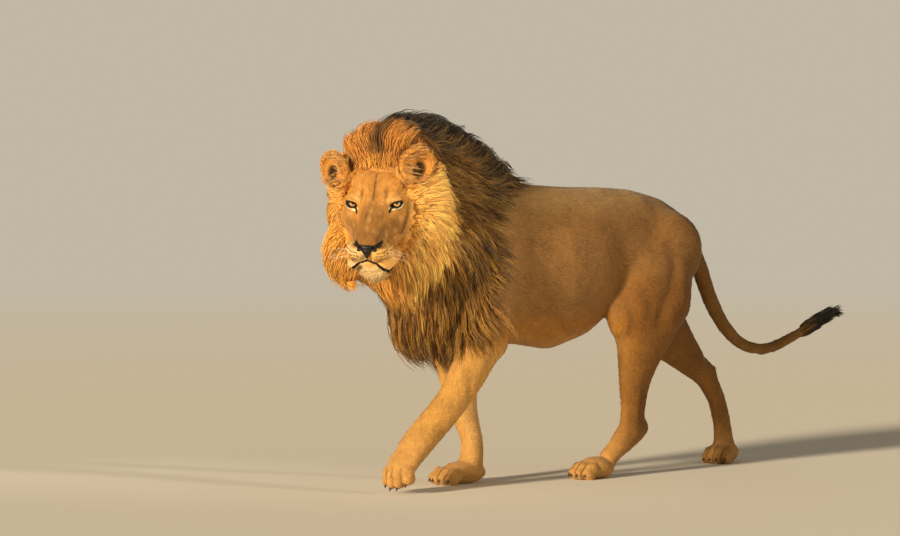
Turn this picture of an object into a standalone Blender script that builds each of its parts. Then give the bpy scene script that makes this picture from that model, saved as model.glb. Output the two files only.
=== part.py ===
"""Adult male lion, walking, life size. Metres, +Z up; it walks towards -X and looks to its left.

The animal is shaped whole from lofted limbs and rounded masses, fused into one skin,
and then parted with thin cuts into its named parts.
"""

import math

import bmesh
import bpy
from mathutils import Matrix, Vector

# ---- driving dimensions ----
WITHERS = 1.06            # height of the back behind the mane
BODY_HALF_WIDTH = 0.168   # half the width of the rib cage
FUSE_CELL = 0.014         # size of the cells that fuse the masses
FINE_CELL = 0.0065        # the same for the head
BODY_TRIANGLES = 4000
HEAD_TRIANGLES = 1800
GAP = 0.0003              # clearance between neighbouring parts

# ---- the head's own frame: left of the lion, forward out of the face, up ----
EYES = Vector((-0.454, -0.170, 0.996))   # midway between the pupils
HEAD_YAW = math.radians(44.4)            # turned this far to the lion's left
HEAD_PITCH = math.radians(18.0)          # nose down
HEAD_ROLL = math.radians(2.6)            # its left side higher
EYE_SPACING = 0.150
EYE_RADIUS = 0.0195
EYE_DEPTH = 0.012                        # how far the eyeballs' centres stand forward
EAR_CENTRES = {1: (0.134, -0.062, 0.128), -1: (-0.150, -0.084, 0.092)}   # left and right
EAR_RADII = (0.064, 0.028, 0.066)
EAR_TURNS = {1: 16, -1: 34}              # degrees that the ears' mouths face outward
EAR_LEAN = 30                            # degrees that their tips lean outward
HOLLOW_CENTRE = (0, 0.026, 0.004)        # the cup of the ear, in the ear's frame
HOLLOW_RADII = (0.043, 0.028, 0.046)
FACE_CENTRE = (0.0, 0.040, -0.070)       # the short-haired face inside the ruff
FACE_RADII = (0.132, 0.190, 0.200)
LIDS_CENTRE = (0.080, 0.038, 0)          # the opening between the left eye's lids
LIDS_RADII = (0.026, 0.022, 0.015)
LIDS_SLANT = (20, 35)                    # degrees about the forward and the up direction
NOSE_CENTRE = (0, 0.204, -0.084)
NOSE_RADII = (0.042, 0.032, 0.026)

# ---- shaping ----
BODY_SOFTENING = 10                      # passes of smoothing
HEAD_SOFTENING = 8
SOLE = 0.004                             # where the feet are cut flat
FLOOR_SIZE = (4, 2, 1)                   # the block that cuts them
PAW_DROP = 0.045                         # how far a lifted paw hangs below its wrist
SLIVER = 0.00002                         # faces thinner than this are dissolved
SCRAP_FACES = 10                         # a loose scrap has fewer faces than this
ROUGHNESS = 0.8

COLOURS = {
    "trunk": "9C7B4E", "face_ruff": "C98F3F", "neck_mane": "4E3B22", "chest_mane": "5B4526",
    "head": "B98A4C", "ear_left": "B98A4C", "ear_right": "B98A4C", "nose": "2A2220",
    "eye_left": "B07A2A", "eye_right": "B07A2A", "leg": "B58A50", "paw": "BE9458",
    "tail": "9C7440", "tail_tuft": "2B211A",
}


def clear_scene():
    for obj in list(bpy.data.objects):
        bpy.data.objects.remove(obj, do_unlink=True)


def linear(channel):
    return channel / 12.92 if channel <= 0.04045 else ((channel + 0.055) / 1.055) ** 2.4


def material_for(name, hex_colour):
    """A plain Principled material of this colour."""
    mat = bpy.data.materials.new(name)
    mat.use_nodes = True
    shader = mat.node_tree.nodes["Principled BSDF"]
    channels = [linear(int(hex_colour[i:i + 2], 16) / 255) for i in (0, 2, 4)]
    shader.inputs["Base Color"].default_value = (*channels, 1)
    shader.inputs["Roughness"].default_value = ROUGHNESS
    shader.inputs["Metallic"].default_value = 0.0
    return mat


def object_from(bm, name):
    """Turns a finished bmesh into a scene object with outward faces."""
    bmesh.ops.recalc_face_normals(bm, faces=bm.faces)
    mesh = bpy.data.meshes.new(name)
    bm.to_mesh(mesh)
    bm.free()
    obj = bpy.data.objects.new(name, mesh)
    bpy.context.collection.objects.link(obj)
    return obj


def head_matrix():
    """Places head coordinates (left, forward, up) in the world, at the eyes' midpoint."""
    level = Vector((-math.cos(HEAD_YAW), -math.sin(HEAD_YAW), 0))
    left = Vector((math.sin(HEAD_YAW), -math.cos(HEAD_YAW), 0))
    forward = level * math.cos(HEAD_PITCH) - Vector((0, 0, math.sin(HEAD_PITCH)))
    up = left.cross(forward) * -1
    turn = Matrix.Rotation(-HEAD_ROLL, 3, forward)
    columns = Matrix((turn @ left, turn @ forward, turn @ up)).transposed()
    return Matrix.Translation(EYES) @ columns.to_4x4()


def loft(name, rings, toward, sides=28, place=None):
    """A closed tube through egg-shaped rings.

    Each ring is (centre, side, front, back): front and back are its half depths towards
    and away from the direction `toward`, and side is its half width across it.
    """
    bm = bmesh.new()
    centres = [Vector(ring[0]) for ring in rings]
    loops = []
    for i, (_, side, front, back) in enumerate(rings):
        along = (centres[min(i + 1, len(rings) - 1)] - centres[max(i - 1, 0)]).normalized()
        ahead = (Vector(toward) - along * along.dot(Vector(toward))).normalized()
        across = ahead.cross(along)
        made = bmesh.ops.create_circle(bm, segments=sides, radius=1.0)["verts"]
        for vert in made:
            depth = front if vert.co.y > 0 else back
            vert.co = centres[i] + across * (vert.co.x * side) + ahead * (vert.co.y * depth)
        loops.append([edge for edge in bm.edges if edge.verts[0] in made])
    for one, other in zip(loops, loops[1:]):
        bmesh.ops.bridge_loops(bm, edges=one + other)
    bmesh.ops.holes_fill(bm, edges=loops[0] + loops[-1], sides=0)
    if place:
        bmesh.ops.transform(bm, matrix=place, verts=bm.verts)
    return object_from(bm, name)


def mass(name, centre, radii, turn=(0, 0, 0), place=None, detail=3):
    """An ellipsoid: turn is its rotation about X, Y and Z in degrees."""
    bm = bmesh.new()
    bmesh.ops.create_icosphere(bm, subdivisions=detail, radius=1.0)
    spin = Matrix.Identity(4)
    for angle, axis in zip(turn, "XYZ"):
        spin = Matrix.Rotation(math.radians(angle), 4, axis) @ spin
    shape = Matrix.Translation(centre) @ spin @ Matrix.Diagonal((*radii, 1))
    bmesh.ops.transform(bm, matrix=(place or Matrix.Identity(4)) @ shape, verts=bm.verts)
    return object_from(bm, name)


def fuse(name, pieces, cell, smoothing, triangles):
    """Joins overlapping pieces into one closed skin of about this many triangles."""
    bpy.ops.object.select_all(action="DESELECT")
    for piece in pieces:
        piece.select_set(True)
    bpy.context.view_layer.objects.active = pieces[0]
    bpy.ops.object.join()
    whole = bpy.context.view_layer.objects.active
    whole.name = name
    remesh = whole.modifiers.new("fuse", "REMESH")
    remesh.mode = "VOXEL"
    remesh.voxel_size = cell
    smooth = whole.modifiers.new("soften", "SMOOTH")
    smooth.factor = 0.5
    smooth.iterations = smoothing
    bake(whole)
    if triangles:
        whole.data.calc_loop_triangles()
        reduce = whole.modifiers.new("reduce", "DECIMATE")
        reduce.ratio = min(1.0, triangles / len(whole.data.loop_triangles))
        reduce.use_collapse_triangulate = True
        bake(whole)
    return whole


def bake(obj):
    """Applies every modifier of the object."""
    graph = bpy.context.evaluated_depsgraph_get()
    mesh = bpy.data.meshes.new_from_object(obj.evaluated_get(graph))
    obj.modifiers.clear()
    obj.data = mesh


def boolean(obj, cutter, operation):
    modifier = obj.modifiers.new(operation.lower(), "BOOLEAN")
    modifier.operation = operation
    modifier.object = cutter
    modifier.solver = "EXACT"
    bake(obj)


def drop_slivers(obj):
    """Deletes loose scraps of a few faces that a cut can leave."""
    bm = bmesh.new()
    bm.from_mesh(obj.data)
    bmesh.ops.dissolve_degenerate(bm, dist=SLIVER, edges=bm.edges)
    unseen = set(bm.faces)
    while unseen:
        island = {unseen.pop()}
        edge_faces = list(island)
        while edge_faces:
            face = edge_faces.pop()
            near = {other for edge in face.edges for other in edge.link_faces} & unseen
            unseen -= near
            island |= near
            edge_faces += near
        if len(island) < SCRAP_FACES:
            scrap = {vert for face in island for vert in face.verts}
            bmesh.ops.delete(bm, geom=list(scrap), context="VERTS")
    bm.to_mesh(obj.data)
    bm.free()


def copy_of(obj, name):
    twin = obj.copy()
    twin.data = obj.data.copy()
    twin.name = name
    bpy.context.collection.objects.link(twin)
    return twin


def discard(obj):
    bpy.data.objects.remove(obj, do_unlink=True)


def part_off(whole, name, region_maker):
    """Takes the part inside a region out of the whole, and leaves a thin gap between them."""
    part = copy_of(whole, name)
    region = region_maker(0.0)
    boolean(part, region, "INTERSECT")
    discard(region)
    region = region_maker(GAP)
    boolean(whole, region, "DIFFERENCE")
    discard(region)
    return part


def slab(centre, size, turn=(0, 0, 0), place=None):
    """A region maker: a box, grown by the margin that it is given."""
    def make(margin):
        bm = bmesh.new()
        bmesh.ops.create_cube(bm, size=1.0)
        spin = Matrix.Identity(4)
        for angle, axis in zip(turn, "XYZ"):
            spin = Matrix.Rotation(math.radians(angle), 4, axis) @ spin
        grown = [length + 2 * margin for length in size]
        shape = Matrix.Translation(centre) @ spin @ Matrix.Diagonal((*grown, 1))
        bmesh.ops.transform(bm, matrix=(place or Matrix.Identity(4)) @ shape, verts=bm.verts)
        return object_from(bm, "region")
    return make


def bubble(centre, radii, turn=(0, 0, 0), place=None, detail=3):
    """A region maker: an ellipsoid, grown by the margin that it is given."""
    def make(margin):
        grown = [radius + 2 * margin for radius in radii]
        return mass("region", centre, grown, turn, place, detail)
    return make


# ---- trunk ----

def trunk_pieces():
    wide = BODY_HALF_WIDTH
    rings = [
        # centre                  side          up     down
        ((-0.10, 0, 0.800), 0.110, 0.160, 0.200),
        ((0.02, 0, 0.790), wide * 0.92, 0.215, 0.275),
        ((0.15, 0, 0.780), wide * 1.02, 0.262, 0.295),
        ((0.30, 0, 0.775), wide * 1.06, WITHERS - 0.775, 0.298),
        ((0.43, 0, 0.765), wide * 1.10, 0.287, 0.312),
        ((0.55, 0, 0.775), wide * 1.06, 0.273, 0.280),
        ((0.68, 0, 0.795), wide * 0.95, 0.250, 0.212),
        ((0.80, 0, 0.805), wide * 0.86, 0.228, 0.190),
        ((0.92, 0, 0.800), wide * 0.82, 0.200, 0.160),
        ((1.02, 0, 0.785), wide * 0.66, 0.160, 0.140),
        ((1.10, 0, 0.775), wide * 0.36, 0.100, 0.100),
    ]
    return [
        loft("trunk", rings, (0, 0, 1)),
        mass("shoulder_left", (0.06, -0.115, 0.76), (0.15, 0.085, 0.24), (0, 12, 0)),
        mass("shoulder_right", (0.10, 0.115, 0.76), (0.15, 0.085, 0.24), (0, -6, 0)),
        mass("rump_left", (0.93, -0.085, 0.80), (0.15, 0.085, 0.155), (0, -8, 0)),
        mass("rump_right", (0.96, 0.085, 0.80), (0.14, 0.085, 0.155), (0, -20, 0)),
        mass("sheath", (0.71, 0, 0.618), (0.090, 0.040, 0.036), (0, -12, 0)),
        mass("scrotum", (1.05, 0, 0.655), (0.055, 0.058, 0.060)),
    ]


# ---- legs ----

FORWARD = (-1, 0, 0)


def fore_left_pieces():
    """Swung forward, the paw hanging just clear of the floor."""
    rings = [
        ((0.045, -0.125, 0.800), 0.070, 0.120, 0.110),
        ((0.045, -0.150, 0.660), 0.072, 0.118, 0.105),
        ((0.020, -0.165, 0.530), 0.068, 0.100, 0.098),
        ((-0.045, -0.168, 0.420), 0.063, 0.076, 0.080),
        ((-0.110, -0.160, 0.320), 0.058, 0.068, 0.068),
        ((-0.182, -0.147, 0.238), 0.058, 0.068, 0.060),
        ((-0.240, -0.138, 0.178), 0.066, 0.070, 0.058),
        ((-0.285, -0.132, 0.128), 0.068, 0.060, 0.050),
    ]
    paw = (Matrix.Translation((-0.306, -0.128, 0.108))
           @ Matrix.Rotation(math.radians(-46), 4, "Y")
           @ Matrix.Rotation(math.radians(6), 4, "Z"))
    return [
        loft("fore_left", rings, FORWARD),
        mass("elbow_left", (0.070, -0.160, 0.500), (0.055, 0.045, 0.070), (0, 25, 0)),
        *paw_pieces("paw_fore_left", paw, 1.24, 0.098, flat=False),
    ]


def fore_right_pieces():
    """Upright under the chest."""
    rings = [
        ((0.090, 0.120, 0.800), 0.070, 0.120, 0.110),
        ((0.095, 0.135, 0.660), 0.072, 0.118, 0.105),
        ((0.105, 0.130, 0.530), 0.068, 0.100, 0.100),
        ((0.110, 0.110, 0.420), 0.062, 0.085, 0.092),
        ((0.114, 0.090, 0.320), 0.054, 0.076, 0.076),
        ((0.124, 0.072, 0.235), 0.046, 0.056, 0.056),
        ((0.142, 0.060, 0.160), 0.042, 0.046, 0.048),
        ((0.142, 0.055, 0.090), 0.048, 0.048, 0.052),
        ((0.120, 0.052, 0.050), 0.055, 0.050, 0.055),
    ]
    paw = Matrix.Translation((0.078, 0.050, 0.0)) @ Matrix.Rotation(math.radians(6), 4, "Z")
    return [
        loft("fore_right", rings, FORWARD),
        mass("elbow_right", (0.165, 0.130, 0.500), (0.050, 0.045, 0.070)),
        *paw_pieces("paw_fore_right", paw, 1.08, 0.118),
    ]


def hind_left_pieces():
    """Set down well forward."""
    rings = [
        ((0.915, -0.085, 0.840), 0.060, 0.110, 0.095),
        ((0.875, -0.110, 0.740), 0.080, 0.165, 0.140),
        ((0.835, -0.125, 0.650), 0.084, 0.176, 0.166),
        ((0.785, -0.132, 0.575), 0.080, 0.158, 0.152),
        ((0.768, -0.132, 0.500), 0.070, 0.130, 0.134),
        ((0.752, -0.126, 0.420), 0.056, 0.098, 0.098),
        ((0.738, -0.118, 0.330), 0.043, 0.072, 0.076),
        ((0.742, -0.110, 0.235), 0.036, 0.060, 0.058),
        ((0.742, -0.104, 0.165), 0.038, 0.068, 0.068),
        ((0.675, -0.100, 0.105), 0.042, 0.044, 0.044),
        ((0.620, -0.100, 0.062), 0.050, 0.042, 0.042),
    ]
    paw = Matrix.Translation((0.560, -0.100, 0.0)) @ Matrix.Rotation(math.radians(4), 4, "Z")
    return [
        loft("hind_left", rings, FORWARD),
        mass("knee_left", (0.665, -0.135, 0.570), (0.055, 0.055, 0.085)),
        mass("heel_left", (0.795, -0.103, 0.180), (0.030, 0.024, 0.042), (0, -20, 0)),
        *paw_pieces("paw_hind_left", paw, 0.94, 0.095),
    ]


def hind_right_pieces():
    """Trailing, about to leave the floor."""
    rings = [
        ((0.940, 0.085, 0.840), 0.060, 0.110, 0.095),
        ((0.960, 0.108, 0.740), 0.080, 0.150, 0.150),
        ((0.990, 0.122, 0.640), 0.082, 0.150, 0.168),
        ((1.035, 0.130, 0.550), 0.076, 0.125, 0.156),
        ((1.105, 0.128, 0.470), 0.062, 0.094, 0.122),
        ((1.190, 0.118, 0.395), 0.050, 0.068, 0.086),
        ((1.275, 0.108, 0.325), 0.040, 0.052, 0.056),
        ((1.325, 0.102, 0.240), 0.034, 0.044, 0.046),
        ((1.348, 0.097, 0.155), 0.034, 0.044, 0.044),
        ((1.356, 0.092, 0.080), 0.044, 0.048, 0.046),
        ((1.352, 0.090, 0.045), 0.048, 0.050, 0.048),
    ]
    paw = Matrix.Translation((1.338, 0.088, 0.0)) @ Matrix.Rotation(math.radians(24), 4, "Z")
    return [
        loft("hind_right", rings, FORWARD),
        mass("knee_right", (0.935, 0.132, 0.560), (0.060, 0.055, 0.085), (0, 20, 0)),
        mass("heel_right", (1.325, 0.104, 0.338), (0.032, 0.024, 0.045), (0, 25, 0)),
        *paw_pieces("paw_hind_right", paw, 1.0, 0.086),
    ]


def paw_pieces(name, place, scale, half_length, flat=True):
    """A paw with four toes. In its own frame it points to -X and its sole is at z = 0."""
    drop = 0.0 if flat else -PAW_DROP
    palm = (half_length * 0.85, 0.056 * scale, 0.042)
    pieces = [mass(name, (0.020, 0, 0.037 + drop), palm, place=place)]
    for i in range(4):
        off = (i - 1.5) / 1.5
        centre = (-half_length + 0.040 + 0.018 * abs(off), off * 0.042 * scale, 0.032 + drop)
        toe = (0.043, 0.021 * scale, 0.038)
        pieces.append(mass(name, centre, toe, (0, 0, off * 8), place=place))
    return pieces


# ---- tail ----

def tail_pieces():
    rings = [
        ((1.040, 0.000, 0.845), 0.050, 0.050, 0.060),
        ((1.105, 0.004, 0.806), 0.042, 0.044, 0.052),
        ((1.158, 0.010, 0.728), 0.036, 0.038, 0.038),
        ((1.205, 0.016, 0.635), 0.032, 0.032, 0.032),
        ((1.278, 0.020, 0.526), 0.029, 0.029, 0.029),
        ((1.375, 0.020, 0.444), 0.026, 0.026, 0.026),
        ((1.500, 0.020, 0.422), 0.024, 0.024, 0.024),
        ((1.630, 0.020, 0.462), 0.023, 0.023, 0.023),
        ((1.730, 0.020, 0.504), 0.023, 0.024, 0.024),
        ((1.790, 0.020, 0.530), 0.030, 0.032, 0.032),
        ((1.840, 0.020, 0.550), 0.033, 0.035, 0.035),
        ((1.882, 0.020, 0.562), 0.026, 0.027, 0.027),
        ((1.910, 0.020, 0.568), 0.008, 0.008, 0.008),
    ]
    return [loft("tail", rings, (0, 0, 1), sides=20)]


# ---- mane ----

def ruff(name):
    """The collar of long hair round the face, fuller on the side that the head turns to."""
    rings = [
        # centre                    side    up     down
        ((0.020, -0.300, -0.060), 0.130, 0.200, 0.170),
        ((0.026, -0.230, -0.095), 0.215, 0.345, 0.215),
        ((0.028, -0.165, -0.110), 0.240, 0.395, 0.228),
        ((0.014, -0.118, -0.118), 0.208, 0.285, 0.232),
        ((0.008, -0.065, -0.130), 0.168, 0.200, 0.226),
        ((0.008, -0.015, -0.145), 0.132, 0.150, 0.205),
        ((0.000, 0.035, -0.170), 0.085, 0.070, 0.150),
        ((0.000, 0.065, -0.185), 0.040, 0.040, 0.100),
    ]
    return loft(name, rings, (0, 0, 1), sides=36, place=head_matrix())


def cheek_ruff(name):
    """The ruff's lower right, which hangs wide."""
    return mass(name, (-0.100, -0.078, -0.185), (0.108, 0.085, 0.130), place=head_matrix())


def mane_pieces():
    neck = [
        # centre                    side    up     down
        ((0.150, 0.000, 0.800), 0.190, 0.240, 0.300),
        ((0.020, -0.008, 0.820), 0.218, 0.280, 0.300),
        ((-0.120, -0.025, 0.860), 0.215, 0.270, 0.270),
        ((-0.220, -0.045, 0.900), 0.180, 0.240, 0.250),
        ((-0.300, -0.070, 0.930), 0.125, 0.190, 0.210),
    ]
    crest = [
        ((0.310, 0.000, 1.020), 0.050, 0.036, 0.050),
        ((0.220, 0.000, 1.030), 0.090, 0.078, 0.100),
        ((0.110, 0.000, 1.045), 0.115, 0.145, 0.120),
        ((-0.020, -0.010, 1.070), 0.130, 0.195, 0.150),
        ((-0.150, -0.030, 1.095), 0.140, 0.214, 0.150),
        ((-0.270, -0.060, 1.105), 0.130, 0.200, 0.150),
        ((-0.360, -0.090, 1.100), 0.080, 0.150, 0.100),
    ]
    chest = [
        # centre                    side    front  back
        ((-0.165, -0.035, 0.840), 0.180, 0.110, 0.150),
        ((-0.160, -0.035, 0.700), 0.165, 0.110, 0.150),
        ((-0.152, -0.032, 0.600), 0.142, 0.105, 0.140),
        ((-0.155, -0.030, 0.520), 0.105, 0.085, 0.110),
        ((-0.170, -0.030, 0.455), 0.040, 0.040, 0.045),
    ]
    return [
        loft("neck", neck, (0, 0, 1), sides=36),
        loft("crest", crest, (0, 0, 1)),
        loft("chest", chest, FORWARD),
        mass("elbow_fringe", (-0.045, -0.160, 0.545), (0.085, 0.060, 0.090), (0, 10, 0)),
        mass("fringe_right", (-0.010, 0.130, 0.560), (0.085, 0.055, 0.085), (0, 10, 0)),
        ruff("ruff"),
        cheek_ruff("cheek_ruff"),
    ]


# ---- head, in its own frame ----

def skull_pieces():
    head = head_matrix()
    rings = [
        # centre                side    up     down
        ((0, -0.200, -0.030), 0.085, 0.080, 0.090),
        ((0, -0.130, -0.040), 0.118, 0.125, 0.125),
        ((0, -0.060, -0.050), 0.124, 0.136, 0.135),
        ((0, -0.005, -0.060), 0.112, 0.116, 0.132),
        ((0, 0.045, -0.080), 0.084, 0.100, 0.118),
        ((0, 0.095, -0.100), 0.068, 0.086, 0.102),
        ((0, 0.145, -0.115), 0.061, 0.074, 0.094),
        ((0, 0.180, -0.115), 0.049, 0.055, 0.074),
        ((0, 0.197, -0.110), 0.026, 0.034, 0.034),
    ]
    pieces = [
        loft("skull", rings, (0, 0, 1), place=head),
        mass("chin", (0, 0.130, -0.205), (0.046, 0.044, 0.034), place=head),
        mass("nose_bridge", (0, 0.110, -0.032), (0.042, 0.088, 0.026), (-30, 0, 0), place=head),
    ]
    for side in (1, -1):
        pieces += [
            mass("whisker_pad", (side * 0.038, 0.145, -0.125), (0.042, 0.055, 0.040), place=head),
            mass("brow", (side * 0.060, 0.006, 0.035), (0.042, 0.030, 0.018),
                 (0, side * -14, side * -25), place=head),
            mass("cheek", (side * 0.088, -0.030, -0.065), (0.034, 0.060, 0.045), place=head),
        ]
    return pieces


def ear_place(side):
    """The ear's own frame: its mouth faces +Y and its tip +Z."""
    return (head_matrix() @ Matrix.Translation(EAR_CENTRES[side])
            @ Matrix.Rotation(math.radians(-side * EAR_TURNS[side]), 4, "Z")
            @ Matrix.Rotation(math.radians(side * EAR_LEAN), 4, "Y"))


def ear_shape(side):
    return bubble((0, 0, 0), EAR_RADII, place=ear_place(side))


def ear(name, side):
    """A round cupped ear whose mouth faces forward and outward."""
    outer = ear_shape(side)(0.0)
    outer.name = name
    hollow = mass("hollow", HOLLOW_CENTRE, HOLLOW_RADII, place=ear_place(side), detail=2)
    boolean(outer, hollow, "DIFFERENCE")
    discard(hollow)


# ---- assembly ----

def limb_regions():
    """Where the limbs and the tail are parted from the trunk, the paws first."""
    return {
        "paw_fore_left": slab((-0.42, -0.14, 0.020), (0.40, 0.36, 0.34), (0, -44, 0)),
        "paw_fore_right": slab((0.080, 0.06, 0.020), (0.40, 0.24, 0.140)),
        "paw_hind_left": slab((0.480, -0.10, 0.000), (0.32, 0.30, 0.220), (0, 30, 0)),
        "paw_hind_right": slab((1.330, 0.09, 0.020), (0.30, 0.26, 0.150)),
        "tail_tuft": slab((1.930, 0.02, 0.590), (0.300, 0.20, 0.26), (0, -22, 0)),
        "tail": slab((1.620, 0.02, 0.620), (0.800, 0.100, 0.640), (0, -24, 0)),
        "leg_fore_left": slab((-0.060, -0.26, 0.224), (0.70, 0.42, 0.456)),
        "leg_fore_right": slab((0.150, 0.20, 0.224), (0.50, 0.42, 0.456)),
        "leg_hind_left": slab((0.830, -0.20, 0.270), (0.80, 0.37, 0.600), (0, -6, 0)),
        "leg_hind_right": slab((1.180, 0.22, 0.270), (0.62, 0.38, 0.600)),
    }


def mane_regions():
    """Where the mane is parted from the trunk: the ruff, then the chest, then the neck."""
    head = head_matrix()
    return {
        "face_ruff": slab((0.0, 0.035, 0.030), (0.54, 0.40, 0.740), place=head),
        "chest_mane": slab((-0.300, 0.0, 0.500), (0.58, 0.60, 0.400)),
        "neck_mane": slab((-0.330, 0.0, 0.950), (0.80, 0.70, 1.200), (0, 35, 0)),
    }


def colour_of(name):
    """The colour of this part, or of all the parts whose names start the same."""
    return COLOURS.get(name) or COLOURS[name.split("_")[0]]


def set_origin():
    """Moves everything so that the middle of the bounding box's foot is the origin."""
    corners = [Vector(corner) for obj in bpy.data.objects for corner in obj.bound_box]
    low = [min(corner[i] for corner in corners) for i in range(3)]
    high = [max(corner[i] for corner in corners) for i in range(3)]
    shift = Vector((-(low[0] + high[0]) / 2, -(low[1] + high[1]) / 2, -low[2]))
    for obj in bpy.data.objects:
        obj.data.transform(Matrix.Translation(shift))
    bpy.context.scene["design_offset"] = shift
    print("moved by", tuple(round(value, 4) for value in shift))


def take_away(solids, region_maker):
    """Cuts a region, with its clearance, out of these solids."""
    region = region_maker(GAP)
    for solid in solids:
        boolean(solid, region, "DIFFERENCE")
    discard(region)


def lids(side):
    """A region maker: the slit between the eyelids."""
    x, y, z = LIDS_CENTRE
    tilt, slant = LIDS_SLANT
    return bubble((side * x, y, z), LIDS_RADII, (0, side * tilt, -side * slant),
                  head_matrix(), detail=2)


def build_body():
    limbs = (fore_left_pieces() + fore_right_pieces() + hind_left_pieces()
             + hind_right_pieces() + tail_pieces())
    body = fuse("trunk", trunk_pieces() + limbs + mane_pieces(),
                FUSE_CELL, BODY_SOFTENING, BODY_TRIANGLES)
    take_away([body], slab((0, 0, SOLE - FLOOR_SIZE[2] / 2), FLOOR_SIZE))
    return body


def build_head(body):
    """The short-haired face, let into the ruff, with the ears, the eyes and the nose."""
    place = head_matrix()
    head = fuse("head", skull_pieces() + [ruff("ruff"), cheek_ruff("cheek_ruff")],
                FINE_CELL, HEAD_SOFTENING, HEAD_TRIANGLES)
    face = bubble(FACE_CENTRE, FACE_RADII, place=place)
    region = face(0.0)
    boolean(head, region, "INTERSECT")
    discard(region)
    take_away([body], face)
    for side, label in ((1, "left"), (-1, "right")):
        ear("ear_" + label, side)
        take_away([body, head], ear_shape(side))
        centre = (side * EYE_SPACING / 2, EYE_DEPTH, 0)
        eye = bubble(centre, [EYE_RADIUS] * 3, place=place, detail=2)
        eye(0.0).name = "eye_" + label
        take_away([head], eye)
        take_away([head], lids(side))
    part_off(head, "nose", bubble(NOSE_CENTRE, NOSE_RADII, place=place, detail=2))


def main():
    clear_scene()
    body = build_body()
    build_head(body)
    for name, region_maker in {**limb_regions(), **mane_regions()}.items():
        part_off(body, name, region_maker)
    set_origin()
    for obj in bpy.data.objects:
        drop_slivers(obj)
        obj.data.materials.clear()
        obj.data.materials.append(material_for(obj.name, colour_of(obj.name)))


main()
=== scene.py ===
import math

import bmesh
import bpy
import numpy as np
from mathutils import Matrix, Vector
from mathutils.bvhtree import BVHTree


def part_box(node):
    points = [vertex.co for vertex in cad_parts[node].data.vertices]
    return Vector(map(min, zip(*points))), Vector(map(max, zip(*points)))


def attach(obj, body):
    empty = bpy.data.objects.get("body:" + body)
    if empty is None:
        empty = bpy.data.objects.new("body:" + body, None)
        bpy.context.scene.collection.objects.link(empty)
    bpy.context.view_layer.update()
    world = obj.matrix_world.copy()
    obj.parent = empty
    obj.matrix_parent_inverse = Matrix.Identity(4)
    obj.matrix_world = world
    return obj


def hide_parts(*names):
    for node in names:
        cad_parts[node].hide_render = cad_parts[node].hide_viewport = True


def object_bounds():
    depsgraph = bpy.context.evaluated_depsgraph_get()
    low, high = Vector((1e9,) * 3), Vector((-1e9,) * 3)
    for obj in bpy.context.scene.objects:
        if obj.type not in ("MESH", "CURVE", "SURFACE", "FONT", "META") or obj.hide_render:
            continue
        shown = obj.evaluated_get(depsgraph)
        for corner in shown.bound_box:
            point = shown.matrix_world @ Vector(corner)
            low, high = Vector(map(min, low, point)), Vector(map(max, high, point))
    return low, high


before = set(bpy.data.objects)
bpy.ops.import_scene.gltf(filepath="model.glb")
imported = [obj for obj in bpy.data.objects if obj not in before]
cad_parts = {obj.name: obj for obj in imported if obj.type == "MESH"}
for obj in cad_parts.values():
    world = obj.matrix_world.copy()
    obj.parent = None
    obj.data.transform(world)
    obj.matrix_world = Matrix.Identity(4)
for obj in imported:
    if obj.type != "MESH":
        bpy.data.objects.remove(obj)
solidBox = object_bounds()
rng = np.random.default_rng(11)


# A full-grown male lion, shown as a still model. Metres, +Z up. It walks towards -X and looks to
# its left. The skin is one closed mesh, and every hair is a thin tapered solid that grows from it.

headPose = {"yaw": 44.4, "pitch": 18.0, "roll": 2.6}   # degrees: to its left, nose down, left up
eyeDepth = 0.012                                       # the eyeballs stand this far forward
eyesDesign = Vector((-0.454, -0.170, 0.996))           # between the pupils, in the lion's own frame
downward = np.array((0.0, 0.0, -1.0))


def headAxes():
    yaw, pitch, roll = (math.radians(headPose[key]) for key in ("yaw", "pitch", "roll"))
    level = Vector((-math.cos(yaw), -math.sin(yaw), 0))
    left = Vector((math.sin(yaw), -math.cos(yaw), 0))
    forward = level * math.cos(pitch) - Vector((0, 0, math.sin(pitch)))
    turn = Matrix.Rotation(-roll, 3, forward)
    return [turn @ axis for axis in (left, forward, forward.cross(left))]


def middleOf(node):
    low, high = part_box(node)
    return (low + high) / 2


headLeft, headForward, headUp = headAxes()
eyesAt = (middleOf("eye_left") + middleOf("eye_right")) / 2 - headForward * eyeDepth
shift = eyesAt - eyesDesign
bodyPlace = Matrix.Translation(shift)
headTurn = Matrix((headLeft, headForward, headUp)).transposed()
headPlace = Matrix.Translation(eyesAt) @ headTurn.to_4x4()
shiftArray = np.array(shift)
eyesArray = np.array(eyesAt)
headArray = np.array(headTurn)


def inHead(points):
    # columns: left, forward, up
    return (points - eyesArray) @ headArray


def ramp(value, low, high):
    share = np.clip((value - low) / (high - low), 0.0, 1.0)
    return share * share * (3 - 2 * share)


def unit(vectors):
    return vectors / np.maximum(np.linalg.norm(vectors, axis=-1, keepdims=True), 1e-9)


def dot(one, other):
    return np.sum(one * other, axis=-1, keepdims=True)


def mix(one, other, share):
    share = np.reshape(share, (-1, 1))
    return one * (1 - share) + other * share


def inBody(points):
    # columns: towards the tail, to its right, up
    return points - shiftArray


def ownFrame(points, place):
    # the points as they lie in the frame of a piece
    return (points - place[:3, 3]) @ place[:3, :3]


def folded(points, axis):
    # both sides laid on one
    points = points.copy()
    points[:, axis] = np.abs(points[:, axis])
    return points


def lengthOf(rows):
    return np.linalg.norm(rows, axis=1)


def blob(values, centres, reaches):
    # a soft spot, 1 at its centre
    return np.exp(-sum(((value - centre) / reach) ** 2
                       for value, centre, reach in zip(values, centres, reaches)))


def readMesh(items, field, width, kind=np.float32):
    # one field of all these mesh elements, a row for each
    values = np.empty(len(items) * width, kind)
    items.foreach_get(field, values)
    return values.reshape(-1, width)


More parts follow.
